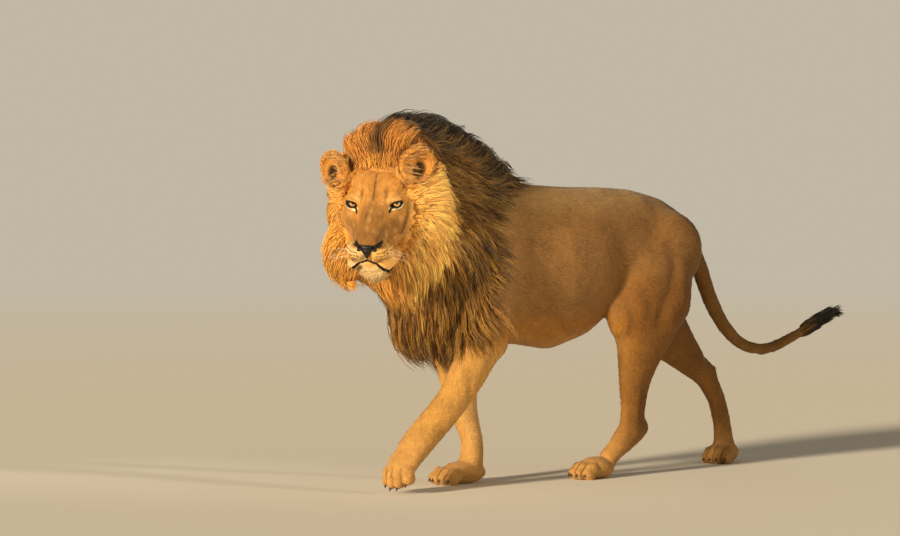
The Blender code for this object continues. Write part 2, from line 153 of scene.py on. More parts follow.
def pointsOf(obj):
    return readMesh(obj.data.vertices, "co", 3).astype(float)


def normalsOf(obj):
    return readMesh(obj.data.vertex_normals, "vector", 3).astype(float)


def setPoints(obj, points):
    obj.data.vertices.foreach_set("co", points.astype(np.float32).ravel())
    obj.data.update()


def pushOut(obj, move):
    # moves each point along its normal by its own amount
    setPoints(obj, pointsOf(obj) + normalsOf(obj) * move[:, None])


def linked(name, data):
    obj = bpy.data.objects.new(name, data)
    bpy.context.scene.collection.objects.link(obj)
    return obj


def meshObject(bm, name):
    bmesh.ops.recalc_face_normals(bm, faces=bm.faces)
    mesh = bpy.data.meshes.new(name)
    bm.to_mesh(mesh)
    bm.free()
    return linked(name, mesh)


def closedTube(bm, loops, place, name):
    # joins a row of rings, closes both ends and puts the tube in its place
    for one, other in zip(loops, loops[1:]):
        bmesh.ops.bridge_loops(bm, edges=one + other)
    bmesh.ops.holes_fill(bm, edges=loops[0] + loops[-1], sides=0)
    bmesh.ops.transform(bm, matrix=place, verts=bm.verts)
    return meshObject(bm, name)


def tube(rings, toward, inset=0.0, place=bodyPlace, sides=40):
    # each ring: centre, half width, half depth towards and away from `toward`
    bm = bmesh.new()
    centres = [Vector(ring[0]) for ring in rings]
    loops = []
    for i, (_, side, front, back) in enumerate(rings):
        along = (centres[min(i + 1, len(rings) - 1)] - centres[max(i - 1, 0)]).normalized()
        facing = (Vector(toward) - along * along.dot(Vector(toward))).normalized()
        across = facing.cross(along)
        made = bmesh.ops.create_circle(bm, segments=sides, radius=1.0)["verts"]
        for vert in made:
            depth = max((front if vert.co.y > 0 else back) - inset, 0.006)
            width = max(side - inset, 0.006)
            vert.co = centres[i] + across * (vert.co.x * width) + facing * (vert.co.y * depth)
        loops.append([edge for edge in bm.edges if edge.verts[0] in made])
    return closedTube(bm, loops, place, "tube")


def lump(centre, radii, turn=(0, 0, 0), inset=0.0, place=bodyPlace):
    bm = bmesh.new()
    bmesh.ops.create_icosphere(bm, subdivisions=4, radius=1.0)
    spin = Matrix.Identity(4)
    for angle, axis in zip(turn, "XYZ"):
        spin = Matrix.Rotation(math.radians(angle), 4, axis) @ spin
    sizes = [max(radius - inset, 0.004) for radius in radii]
    shape = place @ Matrix.Translation(centre) @ spin @ Matrix.Diagonal((*sizes, 1))
    bmesh.ops.transform(bm, matrix=shape, verts=bm.verts)
    return meshObject(bm, "lump")


def headLump(centre, radii, turn=(0, 0, 0)):
    return lump(centre, radii, turn, place=headPlace)


def mirrored(rows, side):
    # the lumps of a list, on its left (1) or its right (-1)
    return [headLump((side * x, y, z), radii, (turnX, side * turnY, side * turnZ))
            for (x, y, z), radii, (turnX, turnY, turnZ) in rows]


def formPieces(form):
    # the solids of a form, smaller than its outline by the depth of its coat
    place, coat = form.get("place", bodyPlace), form["coat"]
    made = [tube(form["rings"], form["toward"], coat, place)]
    return made + [lump(*each, coat, place) for each in form.get("lumps", ())]


def bake(obj):
    graph = bpy.context.evaluated_depsgraph_get()
    mesh = bpy.data.meshes.new_from_object(obj.evaluated_get(graph))
    obj.modifiers.clear()
    obj.data = mesh


def pick(objects):
    bpy.ops.object.select_all(action="DESELECT")
    for obj in objects:
        obj.select_set(True)
    bpy.context.view_layer.objects.active = objects[0]


def joined(name, pieces):
    pick(pieces)
    bpy.ops.object.join()
    whole = bpy.context.view_layer.objects.active
    whole.name = name
    return whole


def fuse(name, pieces, cell):
    whole = joined(name, pieces)
    remesh = whole.modifiers.new("fuse", "REMESH")
    remesh.mode = "VOXEL"
    remesh.voxel_size = cell
    bake(whole)
    return whole


def thin(obj, triangles):
    reduce = obj.modifiers.new("reduce", "DECIMATE")
    reduce.ratio = min(1.0, triangles / (2 * len(obj.data.polygons)))
    reduce.use_collapse_triangulate = True
    bake(obj)


def boolean(obj, other, operation, solver="EXACT"):
    modifier = obj.modifiers.new("cut", "BOOLEAN")
    modifier.operation = operation
    modifier.object = other
    modifier.solver = solver
    bake(obj)
    bpy.data.objects.remove(other, do_unlink=True)


def soften(obj, passes, weight=1.0):
    # smooths every point towards its neighbours, by its own weight
    one, other = readMesh(obj.data.edges, "vertices", 2, np.int32).T
    points = pointsOf(obj)
    count = np.bincount(one, minlength=len(points)) + np.bincount(other, minlength=len(points))
    count = np.maximum(count, 1)
    for _ in range(passes):
        middle = np.empty_like(points)
        for axis in range(3):
            total = np.bincount(one, points[other, axis], len(points))
            total += np.bincount(other, points[one, axis], len(points))
            middle[:, axis] = total / count
        points += (middle - points) * 0.5 * np.reshape(weight, (-1, 1))
    setPoints(obj, points)


# The forms of the body. Rings: centre, half width, half depths towards and away from "toward".
# Lumps: centre, radii, turns in degrees about X, Y and Z.
upward = (0, 0, 1)
ahead = (-1, 0, 0)
legCoat = 0.006
trunkShape = {"halfWidth": 0.168, "withers": 1.06}
wide = trunkShape["halfWidth"]
trunk = {"toward": upward, "coat": 0.008, "rings": [
    ((-0.10, 0, 0.800), 0.110, 0.160, 0.200),
    ((0.02, 0, 0.790), wide * 0.92, 0.215, 0.275),
    ((0.15, 0, 0.780), wide * 1.02, 0.262, 0.295),
    ((0.30, 0, 0.775), wide * 1.06, trunkShape["withers"] - 0.775, 0.298),
    ((0.43, 0, 0.765), wide * 1.10, 0.287, 0.312),
    ((0.55, 0, 0.775), wide * 1.06, 0.273, 0.280),
    ((0.68, 0, 0.795), wide * 0.95, 0.250, 0.212),
    ((0.80, 0, 0.805), wide * 0.86, 0.228, 0.190),
    ((0.92, 0, 0.800), wide * 0.82, 0.200, 0.160),
    ((1.02, 0, 0.785), wide * 0.66, 0.160, 0.140),
    ((1.10, 0, 0.775), wide * 0.36, 0.100, 0.100),
], "lumps": [
    ((0.06, -0.115, 0.76), (0.15, 0.085, 0.24), (0, 12, 0)),
    ((0.10, 0.115, 0.76), (0.15, 0.085, 0.24), (0, -6, 0)),
    ((0.93, -0.085, 0.80), (0.15, 0.085, 0.155), (0, -8, 0)),
    ((0.96, 0.085, 0.80), (0.14, 0.085, 0.155), (0, -20, 0)),
    ((0.71, 0, 0.618), (0.090, 0.040, 0.036), (0, -12, 0)),
    ((1.05, 0, 0.655), (0.055, 0.058, 0.060), (0, 0, 0)),
]}
foreLeft = {"toward": ahead, "coat": legCoat, "rings": [
    ((0.045, -0.125, 0.800), 0.070, 0.120, 0.110),
    ((0.045, -0.150, 0.660), 0.072, 0.118, 0.105),
    ((0.020, -0.165, 0.530), 0.068, 0.100, 0.098),
    ((-0.045, -0.168, 0.420), 0.063, 0.076, 0.080),
    ((-0.110, -0.160, 0.320), 0.058, 0.068, 0.068),
    ((-0.182, -0.147, 0.238), 0.058, 0.068, 0.060),
    ((-0.240, -0.138, 0.178), 0.066, 0.070, 0.058),
    ((-0.285, -0.132, 0.128), 0.068, 0.060, 0.050),
], "lumps": [
    ((0.070, -0.160, 0.500), (0.055, 0.045, 0.070), (0, 25, 0)),
]}
foreRight = {"toward": ahead, "coat": legCoat, "rings": [
    ((0.090, 0.120, 0.800), 0.070, 0.120, 0.110),
    ((0.095, 0.135, 0.660), 0.072, 0.118, 0.105),
    ((0.105, 0.130, 0.530), 0.068, 0.100, 0.100),
    ((0.110, 0.110, 0.420), 0.062, 0.085, 0.092),
    ((0.114, 0.090, 0.320), 0.054, 0.076, 0.076),
    ((0.124, 0.072, 0.235), 0.046, 0.056, 0.056),
    ((0.142, 0.060, 0.160), 0.042, 0.046, 0.048),
    ((0.142, 0.055, 0.090), 0.048, 0.048, 0.052),
    ((0.120, 0.052, 0.050), 0.055, 0.050, 0.055),
], "lumps": [
    ((0.165, 0.130, 0.500), (0.050, 0.045, 0.070), (0, 0, 0)),
]}
hindLeft = {"toward": ahead, "coat": legCoat, "rings": [
    ((0.915, -0.085, 0.840), 0.060, 0.110, 0.095),
    ((0.875, -0.110, 0.740), 0.080, 0.165, 0.140),
    ((0.835, -0.125, 0.650), 0.084, 0.176, 0.166),
    ((0.785, -0.132, 0.575), 0.080, 0.158, 0.152),
    ((0.768, -0.132, 0.500), 0.070, 0.130, 0.134),
    ((0.752, -0.126, 0.420), 0.056, 0.098, 0.098),
    ((0.738, -0.118, 0.330), 0.043, 0.072, 0.076),
    ((0.742, -0.110, 0.235), 0.036, 0.060, 0.058),
    ((0.742, -0.104, 0.165), 0.038, 0.068, 0.068),
    ((0.675, -0.100, 0.105), 0.042, 0.044, 0.044),
    ((0.620, -0.100, 0.062), 0.050, 0.042, 0.042),
], "lumps": [
    ((0.665, -0.135, 0.570), (0.055, 0.055, 0.085), (0, 0, 0)),
    ((0.795, -0.103, 0.180), (0.030, 0.024, 0.042), (0, -20, 0)),
]}
hindRight = {"toward": ahead, "coat": legCoat, "rings": [
    ((0.940, 0.085, 0.840), 0.060, 0.110, 0.095),
    ((0.960, 0.108, 0.740), 0.080, 0.150, 0.150),
    ((0.990, 0.122, 0.640), 0.082, 0.150, 0.168),
    ((1.035, 0.130, 0.550), 0.076, 0.125, 0.156),
    ((1.105, 0.128, 0.470), 0.062, 0.094, 0.122),
    ((1.190, 0.118, 0.395), 0.050, 0.068, 0.086),
    ((1.275, 0.108, 0.325), 0.040, 0.052, 0.056),
    ((1.325, 0.102, 0.240), 0.034, 0.044, 0.046),
    ((1.348, 0.097, 0.155), 0.034, 0.044, 0.044),
    ((1.356, 0.092, 0.080), 0.044, 0.048, 0.046),
    ((1.352, 0.090, 0.045), 0.048, 0.050, 0.048),
], "lumps": [
    ((0.935, 0.132, 0.560), (0.060, 0.055, 0.085), (0, 20, 0)),
    ((1.303, 0.104, 0.334), (0.029, 0.027, 0.046), (0, 25, 0)),
]}


def pawPlace(at, tilt=0.0, turn=0.0):
    # in its own frame a paw points to -X and its sole is at z = 0
    return (bodyPlace @ Matrix.Translation(at) @ Matrix.Rotation(math.radians(tilt), 4, "Y")
            @ Matrix.Rotation(math.radians(turn), 4, "Z"))


def pawShape(at, tilt, turn, wide, half, drop=0.0):
    # how wide the paw is, half its length, and how far the sole lies below its frame
    return {"place": pawPlace(at, tilt, turn), "wide": wide, "half": half, "drop": drop}


paws = {
    "foreLeft": pawShape((-0.306, -0.128, 0.108), -46, 6, 1.24, 0.098, -0.045),
    "foreRight": pawShape((0.078, 0.050, 0.0), 0, 6, 1.08, 0.118),
    "hindLeft": pawShape((0.560, -0.100, 0.0), 0, 4, 0.94, 0.095),
    "hindRight": pawShape((1.338, 0.088, 0.0), 0, 24, 1.0, 0.086),
}
toeShape = {
    "knuckle": (0.030, 0.0200, 0.029),
    "tip": (0.026, 0.0175, 0.024),
    "pad": (0.018, 0.0130, 0.010),
    "coat": 0.002,
    "cell": 0.0034,
    "passes": 8,
    "spread": 9,         # degrees between one toe and the next but one
}


def toes(paw):
    # for each of the four toes: its place from -1 to 1, how far forward its tip is, how far across
    for i in range(4):
        off = (i - 1.5) / 1.5
        yield off, -paw["half"] + 0.016 * abs(off) ** 2, off * 0.0425 * paw["wide"]


def buildPaw(paw):
    place, drop, wide, half = (paw[key] for key in ("place", "drop", "wide", "half"))
    coat, flat = toeShape["coat"], (0, 0, 0)
    pieces = [
        lump((0.018, 0, 0.041 + drop), (half * 0.86, 0.056 * wide, 0.043), flat, coat, place),
        lump((0.022, 0, 0.010 + drop), (0.030, 0.030 * wide, 0.012), flat, 0, place),
    ]
    for off, front, across in toes(paw):
        spin = (0, 0, off * toeShape["spread"])
        for part, back, side, height, inset in (("knuckle", 0.046, 0.92, 0.038, coat),
                                                ("tip", 0.027, 1.0, 0.026, coat),
                                                ("pad", 0.034, 1.0, 0.009, 0)):
            centre = (front + back, across * side, height + drop)
            pieces.append(lump(centre, toeShape[part], spin, inset, place))
    made = fuse("paw", pieces, toeShape["cell"])
    soften(made, toeShape["passes"])
    return made


tailPath = [
    # centre                    half width and depths
    ((1.040, 0.000, 0.845), 0.050, 0.050, 0.060),
    ((1.105, 0.004, 0.806), 0.042, 0.044, 0.052),
    ((1.158, 0.010, 0.728), 0.036, 0.038, 0.038),
    ((1.205, 0.016, 0.635), 0.032, 0.032, 0.032),
    ((1.278, 0.020, 0.526), 0.029, 0.029, 0.029),
    ((1.375, 0.020, 0.444), 0.026, 0.026, 0.026),
    ((1.500, 0.020, 0.422), 0.024, 0.024, 0.024),
    ((1.630, 0.020, 0.462), 0.023, 0.023, 0.023),
    ((1.730, 0.020, 0.504), 0.018, 0.018, 0.018),
    ((1.790, 0.020, 0.530), 0.017, 0.017, 0.017),
    ((1.825, 0.020, 0.543), 0.013, 0.013, 0.013),
]


def smoothRings(path):
    # the path's rings, joined by a smooth curve
    given = np.array([(*ring[0], *ring[1:]) for ring in path])
    padded = np.vstack([2 * given[0] - given[1], given, 2 * given[-1] - given[-2]])
    rings = []
    for i in range(len(given) - 1):
        before, one, two, after = padded[i:i + 4]
        for share in np.linspace(0, 1, 5)[:-1]:
            place = 0.5 * (2 * one + (two - before) * share
                           + (2 * before - 5 * one + 4 * two - after) * share ** 2
                           + (3 * one - before - 3 * two + after) * share ** 3)
            rings.append((tuple(place[:3]), *place[3:]))
    rings.append(path[-1])
    return rings


def tailHeight(x):
    # height of the tail's middle line
    return np.interp(x, [ring[0][0] for ring in tailPath], [ring[0][2] for ring in tailPath])


tail = {"toward": upward, "coat": 0.006, "rings": smoothRings(tailPath)}
maneCoat = 0.040         # how deep the flesh lies under the mane
neck = {"toward": upward, "coat": maneCoat, "rings": [
    ((0.150, 0.000, 0.800), 0.190, 0.240, 0.300),
    ((0.020, -0.008, 0.820), 0.218, 0.280, 0.300),
    ((-0.120, -0.025, 0.860), 0.215, 0.270, 0.270),
    ((-0.220, -0.045, 0.900), 0.180, 0.240, 0.250),
    ((-0.300, -0.070, 0.930), 0.125, 0.190, 0.210),
]}
crest = {"toward": upward, "coat": maneCoat + 0.012, "rings": [
    ((0.220, 0.000, 1.030), 0.090, 0.078, 0.100),
    ((0.110, 0.000, 1.045), 0.115, 0.145, 0.120),
    ((-0.020, -0.010, 1.070), 0.130, 0.195, 0.150),
    ((-0.150, -0.030, 1.095), 0.140, 0.214, 0.150),
    ((-0.270, -0.060, 1.105), 0.130, 0.200, 0.150),
    ((-0.360, -0.090, 1.100), 0.080, 0.150, 0.100),
]}
chest = {"toward": ahead, "coat": maneCoat, "rings": [
    ((-0.165, -0.035, 0.840), 0.180, 0.110, 0.150),
    ((-0.160, -0.035, 0.700), 0.165, 0.110, 0.150),
    ((-0.152, -0.032, 0.600), 0.142, 0.105, 0.140),
    ((-0.150, -0.030, 0.540), 0.105, 0.085, 0.110),
]}
ruff = {"toward": upward, "coat": 0.036, "place": headPlace, "rings": [
    ((0.026, -0.230, -0.095), 0.215, 0.345, 0.215),
    ((0.028, -0.165, -0.110), 0.240, 0.385, 0.228),
    ((0.014, -0.118, -0.118), 0.208, 0.280, 0.232),
    ((0.008, -0.065, -0.130), 0.168, 0.195, 0.226),
    ((0.008, -0.025, -0.145), 0.132, 0.150, 0.195),
], "lumps": [
    ((-0.100, -0.078, -0.185), (0.108, 0.085, 0.130), (0, 0, 0)),
]}
bodyForms = (trunk, foreLeft, foreRight, hindLeft, hindRight, tail, neck, crest, chest, ruff)

bodySkin = {
    "cell": 0.0080,
    "passes": 24,        # of smoothing, fewer on the paws
    "anklePasses": 20,
    "triangles": 63000,
    "ribs": {"apart": 0.055, "height": 0.0003},
    "tailGain": 0.0065,  # what the smoothing takes from the tail
}
# muscle and bone under the coat, in the lion's own frame: centre, reach, how far it stands out
bothSides = [
    ((0.215, 0.175, 0.800), (0.030, 0.070, 0.150), -0.008),    # behind the shoulder blade
    ((0.400, 0.185, 0.700), (0.110, 0.060, 0.080), 0.005),     # the ribs' swell
    ((0.665, 0.160, 0.755), (0.055, 0.070, 0.100), -0.013),    # the hollow of the flank
    ((0.705, 0.150, 0.610), (0.030, 0.060, 0.060), 0.007),     # the fold of the flank
    ((0.800, 0.100, 0.985), (0.060, 0.060, 0.035), 0.007),     # the hip bone
    ((0.885, 0.165, 0.820), (0.034, 0.060, 0.080), -0.006),    # between the muscles of the haunch
    ((1.010, 0.120, 0.830), (0.050, 0.060, 0.060), 0.006),     # the seat bone
    ((0.450, 0.000, 1.050), (0.250, 0.016, 0.030), -0.004),    # along the spine
]
oneSide = [
    ((0.640, -0.170, 0.545), (0.035, 0.060, 0.050), 0.008),    # left knee
    ((0.880, -0.190, 0.740), (0.028, 0.050, 0.040), -0.005),   # the groove down the left thigh
    ((0.862, -0.195, 0.705), (0.026, 0.050, 0.038), -0.005),
    ((0.842, -0.200, 0.670), (0.026, 0.050, 0.038), -0.005),
    ((0.822, -0.200, 0.635), (0.026, 0.050, 0.038), -0.005),
    ((0.802, -0.200, 0.600), (0.026, 0.050, 0.038), -0.005),
    ((0.784, -0.200, 0.565), (0.026, 0.050, 0.038), -0.004),
    ((0.905, -0.180, 0.640), (0.034, 0.050, 0.080), 0.005),    # the hamstring behind it
    ((0.855, -0.180, 0.530), (0.026, 0.050, 0.060), 0.005),
    ((0.700, -0.185, 0.610), (0.030, 0.050, 0.080), 0.005),    # the front of the thigh
    ((0.765, -0.070, 0.275), (0.013, 0.050, 0.060), -0.010),   # before the left heel tendon
    ((0.765, -0.160, 0.275), (0.013, 0.050, 0.060), -0.010),
    ((1.268, 0.060, 0.400), (0.016, 0.050, 0.050), -0.007),    # before the right heel tendon
    ((1.268, 0.160, 0.400), (0.016, 0.050, 0.050), -0.007),
    ((1.010, 0.195, 0.590), (0.024, 0.050, 0.100), -0.007),    # the groove down the right thigh
    ((0.100, -0.215, 0.500), (0.030, 0.040, 0.040), 0.006),    # elbows
    ((0.185, 0.160, 0.500), (0.030, 0.040, 0.040), 0.006),
    ((0.030, -0.235, 0.560), (0.020, 0.040, 0.060), -0.006),   # between the arm's muscles
    ((0.012, -0.225, 0.440), (0.014, 0.030, 0.060), -0.005),
    ((-0.150, -0.190, 0.255), (0.030, 0.030, 0.030), 0.004),   # wrist
    ((-0.185, -0.200, 0.205), (0.010, 0.030, 0.030), -0.005),  # between the tendons
    ((-0.080, -0.215, 0.340), (0.014, 0.040, 0.060), -0.005),
]


# where a leg runs into its paw, smoothed after they are joined: centre, reach
ankles = [
    ((-0.256, -0.137, 0.160), 0.105),
    ((0.128, 0.053, 0.076), 0.085),
    ((0.645, -0.100, 0.070), 0.085),
    ((1.362, 0.096, 0.084), 0.095),
]


def sculptBody(body):
    own = inBody(pointsOf(body))
    x, _, z = own.T
    move = np.zeros(len(own))
    for places, forms in ((folded(own, 1), bothSides), (own, oneSide)):
        for centre, reach, out in forms:
            gap = (places - np.array(centre)) / np.array(reach)
            move += out * np.exp(-np.sum(gap * gap, 1))
    ribs = bodySkin["ribs"]
    waves = np.sin((x + 0.25 * (0.80 - z)) * 2 * math.pi / ribs["apart"])
    seen = ramp(x, 0.24, 0.34) * ramp(x, 0.62, 0.52) * ramp(z, 0.58, 0.64)
    move += ribs["height"] * waves * seen * ramp(z, 0.92, 0.84)
    gain = bodySkin["tailGain"] * ramp(x, 1.12, 1.22)
    move += gain * ramp(np.abs(z - tailHeight(x)), 0.12, 0.06)
    pushOut(body, move)


def buildBody():
    pieces = [piece for form in bodyForms for piece in formPieces(form)]
    body = fuse("skin", pieces, bodySkin["cell"])
    height = pointsOf(body)[:, 2]
    soften(body, bodySkin["passes"], 0.30 + 0.70 * ramp(height, 0.10, 0.30))
    sculptBody(body)
    thin(body, bodySkin["triangles"])
    for paw in paws.values():
        boolean(body, buildPaw(paw), "UNION", "MANIFOLD")
    own = inBody(pointsOf(body))
    near = np.max([ramp(lengthOf(own - np.array(ankle)) / reach, 1.0, 0.5)
                   for ankle, reach in ankles], axis=0)
    soften(body, bodySkin["anklePasses"], near)
    return body


headSkin = {
    "cell": 0.0024,
    "roughCell": 1.3,        # times the cell, before the lids are added
    "passes": 12,
    "lidPasses": 4,
    "crownPasses": 24,       # along the top of the forehead, at the end
    "triangles": 96000,
}
eyeShape = {
    "apart": 0.075,        # from the middle line
    "radius": 0.0205,
    "lid": 0.0030,         # thickness of the lids
    "outward": 10,         # degrees that the eyes look outward
    "slant": {1: 13, -1: 9},             # degrees that the outer corners are higher
    "halfLength": 0.0200,
    "upper": 0.0088,       # half heights of the opening
    "lower": 0.0080,
    "raised": {1: 0.012, -1: 0.005},    # its left and right eye, a little off level
    "gaze": (-0.56, -0.83, 0.04),        # both look the same way, ahead and to its left
    "play": 0.0002,        # between an eyeball and its socket
}
earShape = {
    "centres": {1: (0.134, -0.062, 0.128), -1: (-0.150, -0.084, 0.092)},   # its left, its right
    "turns": {1: 16, -1: 34},
    "lean": 30,
    "radii": (0.061, 0.025, 0.062),
    "hollow": (0.050, 0.031, 0.052),
    "hollowAt": (0, 0.022, 0.002),
}


def earPlace(side):
    # in its own frame an ear's mouth faces +Y and its tip +Z
    turn, lean = side * earShape["turns"][side], side * earShape["lean"]
    return (headPlace @ Matrix.Translation(earShape["centres"][side])
            @ Matrix.Rotation(math.radians(-turn), 4, "Z")
            @ Matrix.Rotation(math.radians(lean), 4, "Y"))


def earPieces(side):
    place = earPlace(side)
    ear = lump((0, 0, 0), earShape["radii"], place=place)
    boolean(ear, lump(earShape["hollowAt"], earShape["hollow"], place=place), "DIFFERENCE")
    base = lump((-side * 0.004, -0.018, -0.048), (0.042, 0.032, 0.042), place=place)
    # the ear canal opens low on the outer side
    canal = lump((side * 0.016, 0.000, -0.016), (0.018, 0.022, 0.024), place=place)
    boolean(ear, canal, "DIFFERENCE")
    return [ear, base]


skull = {
    "rings": [
        # centre              half width   up     down
        ((0, -0.200, -0.030), 0.080, 0.075, 0.085),
        ((0, -0.130, -0.040), 0.110, 0.118, 0.120),
        ((0, -0.060, -0.050), 0.117, 0.130, 0.130),
        ((0, -0.005, -0.060), 0.104, 0.109, 0.125),
        ((0, 0.045, -0.080), 0.072, 0.090, 0.108),
        ((0, 0.095, -0.100), 0.056, 0.080, 0.092),
        ((0, 0.145, -0.110), 0.047, 0.070, 0.075),
        ((0, 0.176, -0.108), 0.034, 0.048, 0.048),
    ],
    "sides": 56,
    "lumps": [
        ((0.019, 0.126, -0.192), (0.040, 0.042, 0.030), (0, 0, 0)),
        ((0.012, 0.076, -0.190), (0.062, 0.076, 0.036), (0, 0, 0)),
        ((0.014, 0.148, -0.166), (0.032, 0.030, 0.022), (0, 0, 0)),
        ((0, 0.178, -0.088), (0.034, 0.024, 0.030), (0, 0, 0)),
    ],
    "onBothSides": [
        ((0.017, 0.110, -0.030), (0.026, 0.092, 0.024), (-27, 0, 0)),
        ((0.034, 0.156, -0.110), (0.036, 0.044, 0.031), (0, 14, 0)),
        ((0.052, 0.118, -0.122), (0.028, 0.052, 0.034), (0, 0, 14)),
        ((0.050, 0.122, -0.150), (0.022, 0.046, 0.042), (0, -22, 12)),
        ((0.056, 0.050, -0.168), (0.034, 0.085, 0.034), (0, 0, 10)),
        ((0.086, -0.018, -0.060), (0.032, 0.062, 0.044), (0, 0, 22)),
        ((0.058, 0.010, 0.026), (0.040, 0.028, 0.016), (0, -16, -24)),
        ((0.030, -0.042, 0.058), (0.060, 0.062, 0.036), (-20, 0, 0)),
    ],
}


def skullPieces():
    pieces = [tube(skull["rings"], upward, place=headPlace, sides=skull["sides"])]
    pieces += [headLump(*each) for each in skull["lumps"]]
    for side in (1, -1):
        pieces += mirrored(skull["onBothSides"], side) + earPieces(side)
    return pieces


# dents in the head's frame: centre, radius, depth
headDents = [
    ((0.072, 0.052, 0.002), 0.021, 0.013),       # eye sockets
    ((0.056, 0.078, -0.050), 0.024, 0.005),      # beside the bridge of the nose
    ((0.066, 0.072, -0.112), 0.022, 0.005),      # behind the whisker pads
    ((0.108, -0.010, 0.040), 0.030, 0.006),      # temples
    ((0.0, 0.040, 0.022), 0.016, 0.003),         # between the brows
]
# lines on the face, seen from the front: points left and up
lipLine = [(0.0, -0.136), (0.014, -0.141), (0.030, -0.152), (0.046, -0.167), (0.061, -0.183),
           (0.076, -0.199), (0.092, -0.215)]
philtrum = [(0.0, -0.108), (0.0, -0.138)]
browLine = [(0.0, 0.125), (0.0, 0.030)]

engraved = (
    # path, depth, half width, where it starts and where it is full, towards the front of the head
    (lipLine, 0.0055, 0.0034, 0.05, 0.09),
    (philtrum, 0.0035, 0.0028, 0.05, 0.09),
    (browLine, 0.0016, 0.0040, -0.09, -0.03),
)


def lineDistance(points, path):
    # distance in the plane to a line of points
    least = np.full(len(points), 1e9)
    for start, end in zip(path, path[1:]):
        start, end = np.array(start), np.array(end)
        step = end - start
        share = np.clip(((points - start) @ step) / (step @ step), 0, 1)
        gap = lengthOf(points - start - share[:, None] * step)
        least = np.minimum(least, gap)
    return least


def groove(plane, path, width):
    # 1 along a line, fading to its sides
    return np.exp(-(lineDistance(plane, path) / width) ** 2)


def facePlane(local):
    # both halves of the face folded onto one
    return folded(local, 0)[:, (0, 2)]


def sculptHead(head):
    local = folded(inHead(pointsOf(head)), 0)
    move = np.zeros(len(local))
    for centre, radius, depth in headDents:
        gap = lengthOf(local - centre)
        move -= depth * np.exp(-(gap / radius) ** 2)
    pushOut(head, move)


def engraveFace(head):
    local = inHead(pointsOf(head))
    plane, forward = facePlane(local), local[:, 1]
    pushOut(head, sum(-depth * groove(plane, path, width) * ramp(forward, start, full)
                      for path, depth, width, start, full in engraved))


def eyeCentre(side):
    return (side * eyeShape["apart"], eyeDepth, eyeShape["raised"][side])


def eyePlace(side):
    # the eye's own frame: -Y looks out, X runs from the inner to the outer corner
    centre = Matrix.Translation(eyeCentre(side))
    outward = Matrix.Rotation(math.radians(-side * eyeShape["outward"]), 4, "Z")
    slant = Matrix.Rotation(math.radians(-side * eyeShape["slant"][side]), 4, "Y")
    return headPlace @ centre @ outward @ slant


def almondHeight(across):
    # half heights of the opening at this share of its half length
    return np.sqrt(np.maximum(0.0, 1 - across * across)) ** 1.25


def lidOpening(side):
    bm = bmesh.new()
    steps = np.linspace(-1, 1, 15)
    upper = [(x, eyeShape["upper"] * almondHeight(x)) for x in steps]
    lower = [(x, -eyeShape["lower"] * almondHeight(x)) for x in steps[-2:0:-1]]
    rim = [bm.verts.new((side * x * eyeShape["halfLength"], 0.004, z)) for x, z in upper + lower]
    face = bm.faces.new(rim)
    made = bmesh.ops.extrude_face_region(bm, geom=[face])["geom"]
    tips = [item for item in made if isinstance(item, bmesh.types.BMVert)]
    bmesh.ops.translate(bm, vec=(0, 0.05, 0), verts=tips)
    bmesh.ops.transform(bm, matrix=eyePlace(side), verts=bm.verts)
    return meshObject(bm, "opening")


def buildHead():
    head = fuse("head", skullPieces(), headSkin["cell"] * headSkin["roughCell"])
    soften(head, headSkin["passes"])
    sculptHead(head)
    lid, ball = eyeShape["radius"] + eyeShape["lid"], eyeShape["radius"] + eyeShape["play"]
    lids = [headLump(eyeCentre(side), (lid,) * 3) for side in (1, -1)]
    head = fuse("head", [head] + lids, headSkin["cell"])
    soften(head, headSkin["lidPasses"])
    engraveFace(head)
    thin(head, headSkin["triangles"])
    for side in (1, -1):
        boolean(head, lidOpening(side), "DIFFERENCE", "MANIFOLD")
        boolean(head, headLump(eyeCentre(side), (ball,) * 3), "DIFFERENCE", "MANIFOLD")
    return head


# the flesh of body and head joined into one skin, its soles flat on the floor
body = buildBody()
print("body fused:", len(body.data.polygons), "faces")
head = buildHead()
print("head fused:", len(head.data.polygons), "faces")
boolean(body, head, "UNION", "MANIFOLD")
skin = body
skin.name = "lionSkin"
flattened = pointsOf(skin)
flattened[:, 2] = np.maximum(flattened[:, 2], 0.0)
setPoints(skin, flattened)
print("skin joined:", len(skin.data.polygons), "faces")


# the short-haired face, in the head's frame
faceOval = {"centre": (0.004, 0.040, -0.048), "radii": (0.146, 0.190, 0.210)}
chinOval = {"centre": (0.020, 0.150, -0.185), "radii": (0.086, 0.120, 0.062)}


def faceFar(local):
    # 1 on the edge of the short-haired face, less inside it
    return np.min([lengthOf((local - oval["centre"]) / oval["radii"])
                   for oval in (faceOval, chinOval)], axis=0)


def faceShare(local):
    return ramp(faceFar(local), 1.02, 0.90)


def hairline(local):
    # 1 along the top of the forehead, where the face runs into the crown
    far = faceFar(local)
    return ramp(far, 0.84, 0.96) * ramp(far, 1.30, 1.15) * ramp(local[:, 2], 0.04, 0.08)


def earShare(points):
    return np.max([ramp(lengthOf(points - np.array(headPlace @ Vector(centre))), 0.074, 0.060)
                   for centre in earShape["centres"].values()], axis=0)


def maneShare(points):
    # 1 where long hair grows
    x, y, z = inBody(points).T
    border = -0.015 + 0.055 * ramp(z, 0.60, 0.80) + 0.17 * ramp(z, 0.96, 1.05)
    # higher over its left arm
    lowest = 0.50 + 0.07 * ramp(x, -0.15, -0.09) * ramp(-y, 0.06, 0.12)
    return ramp(border - x, -0.012, 0.030) * ramp(z - lowest, -0.03, 0.03)


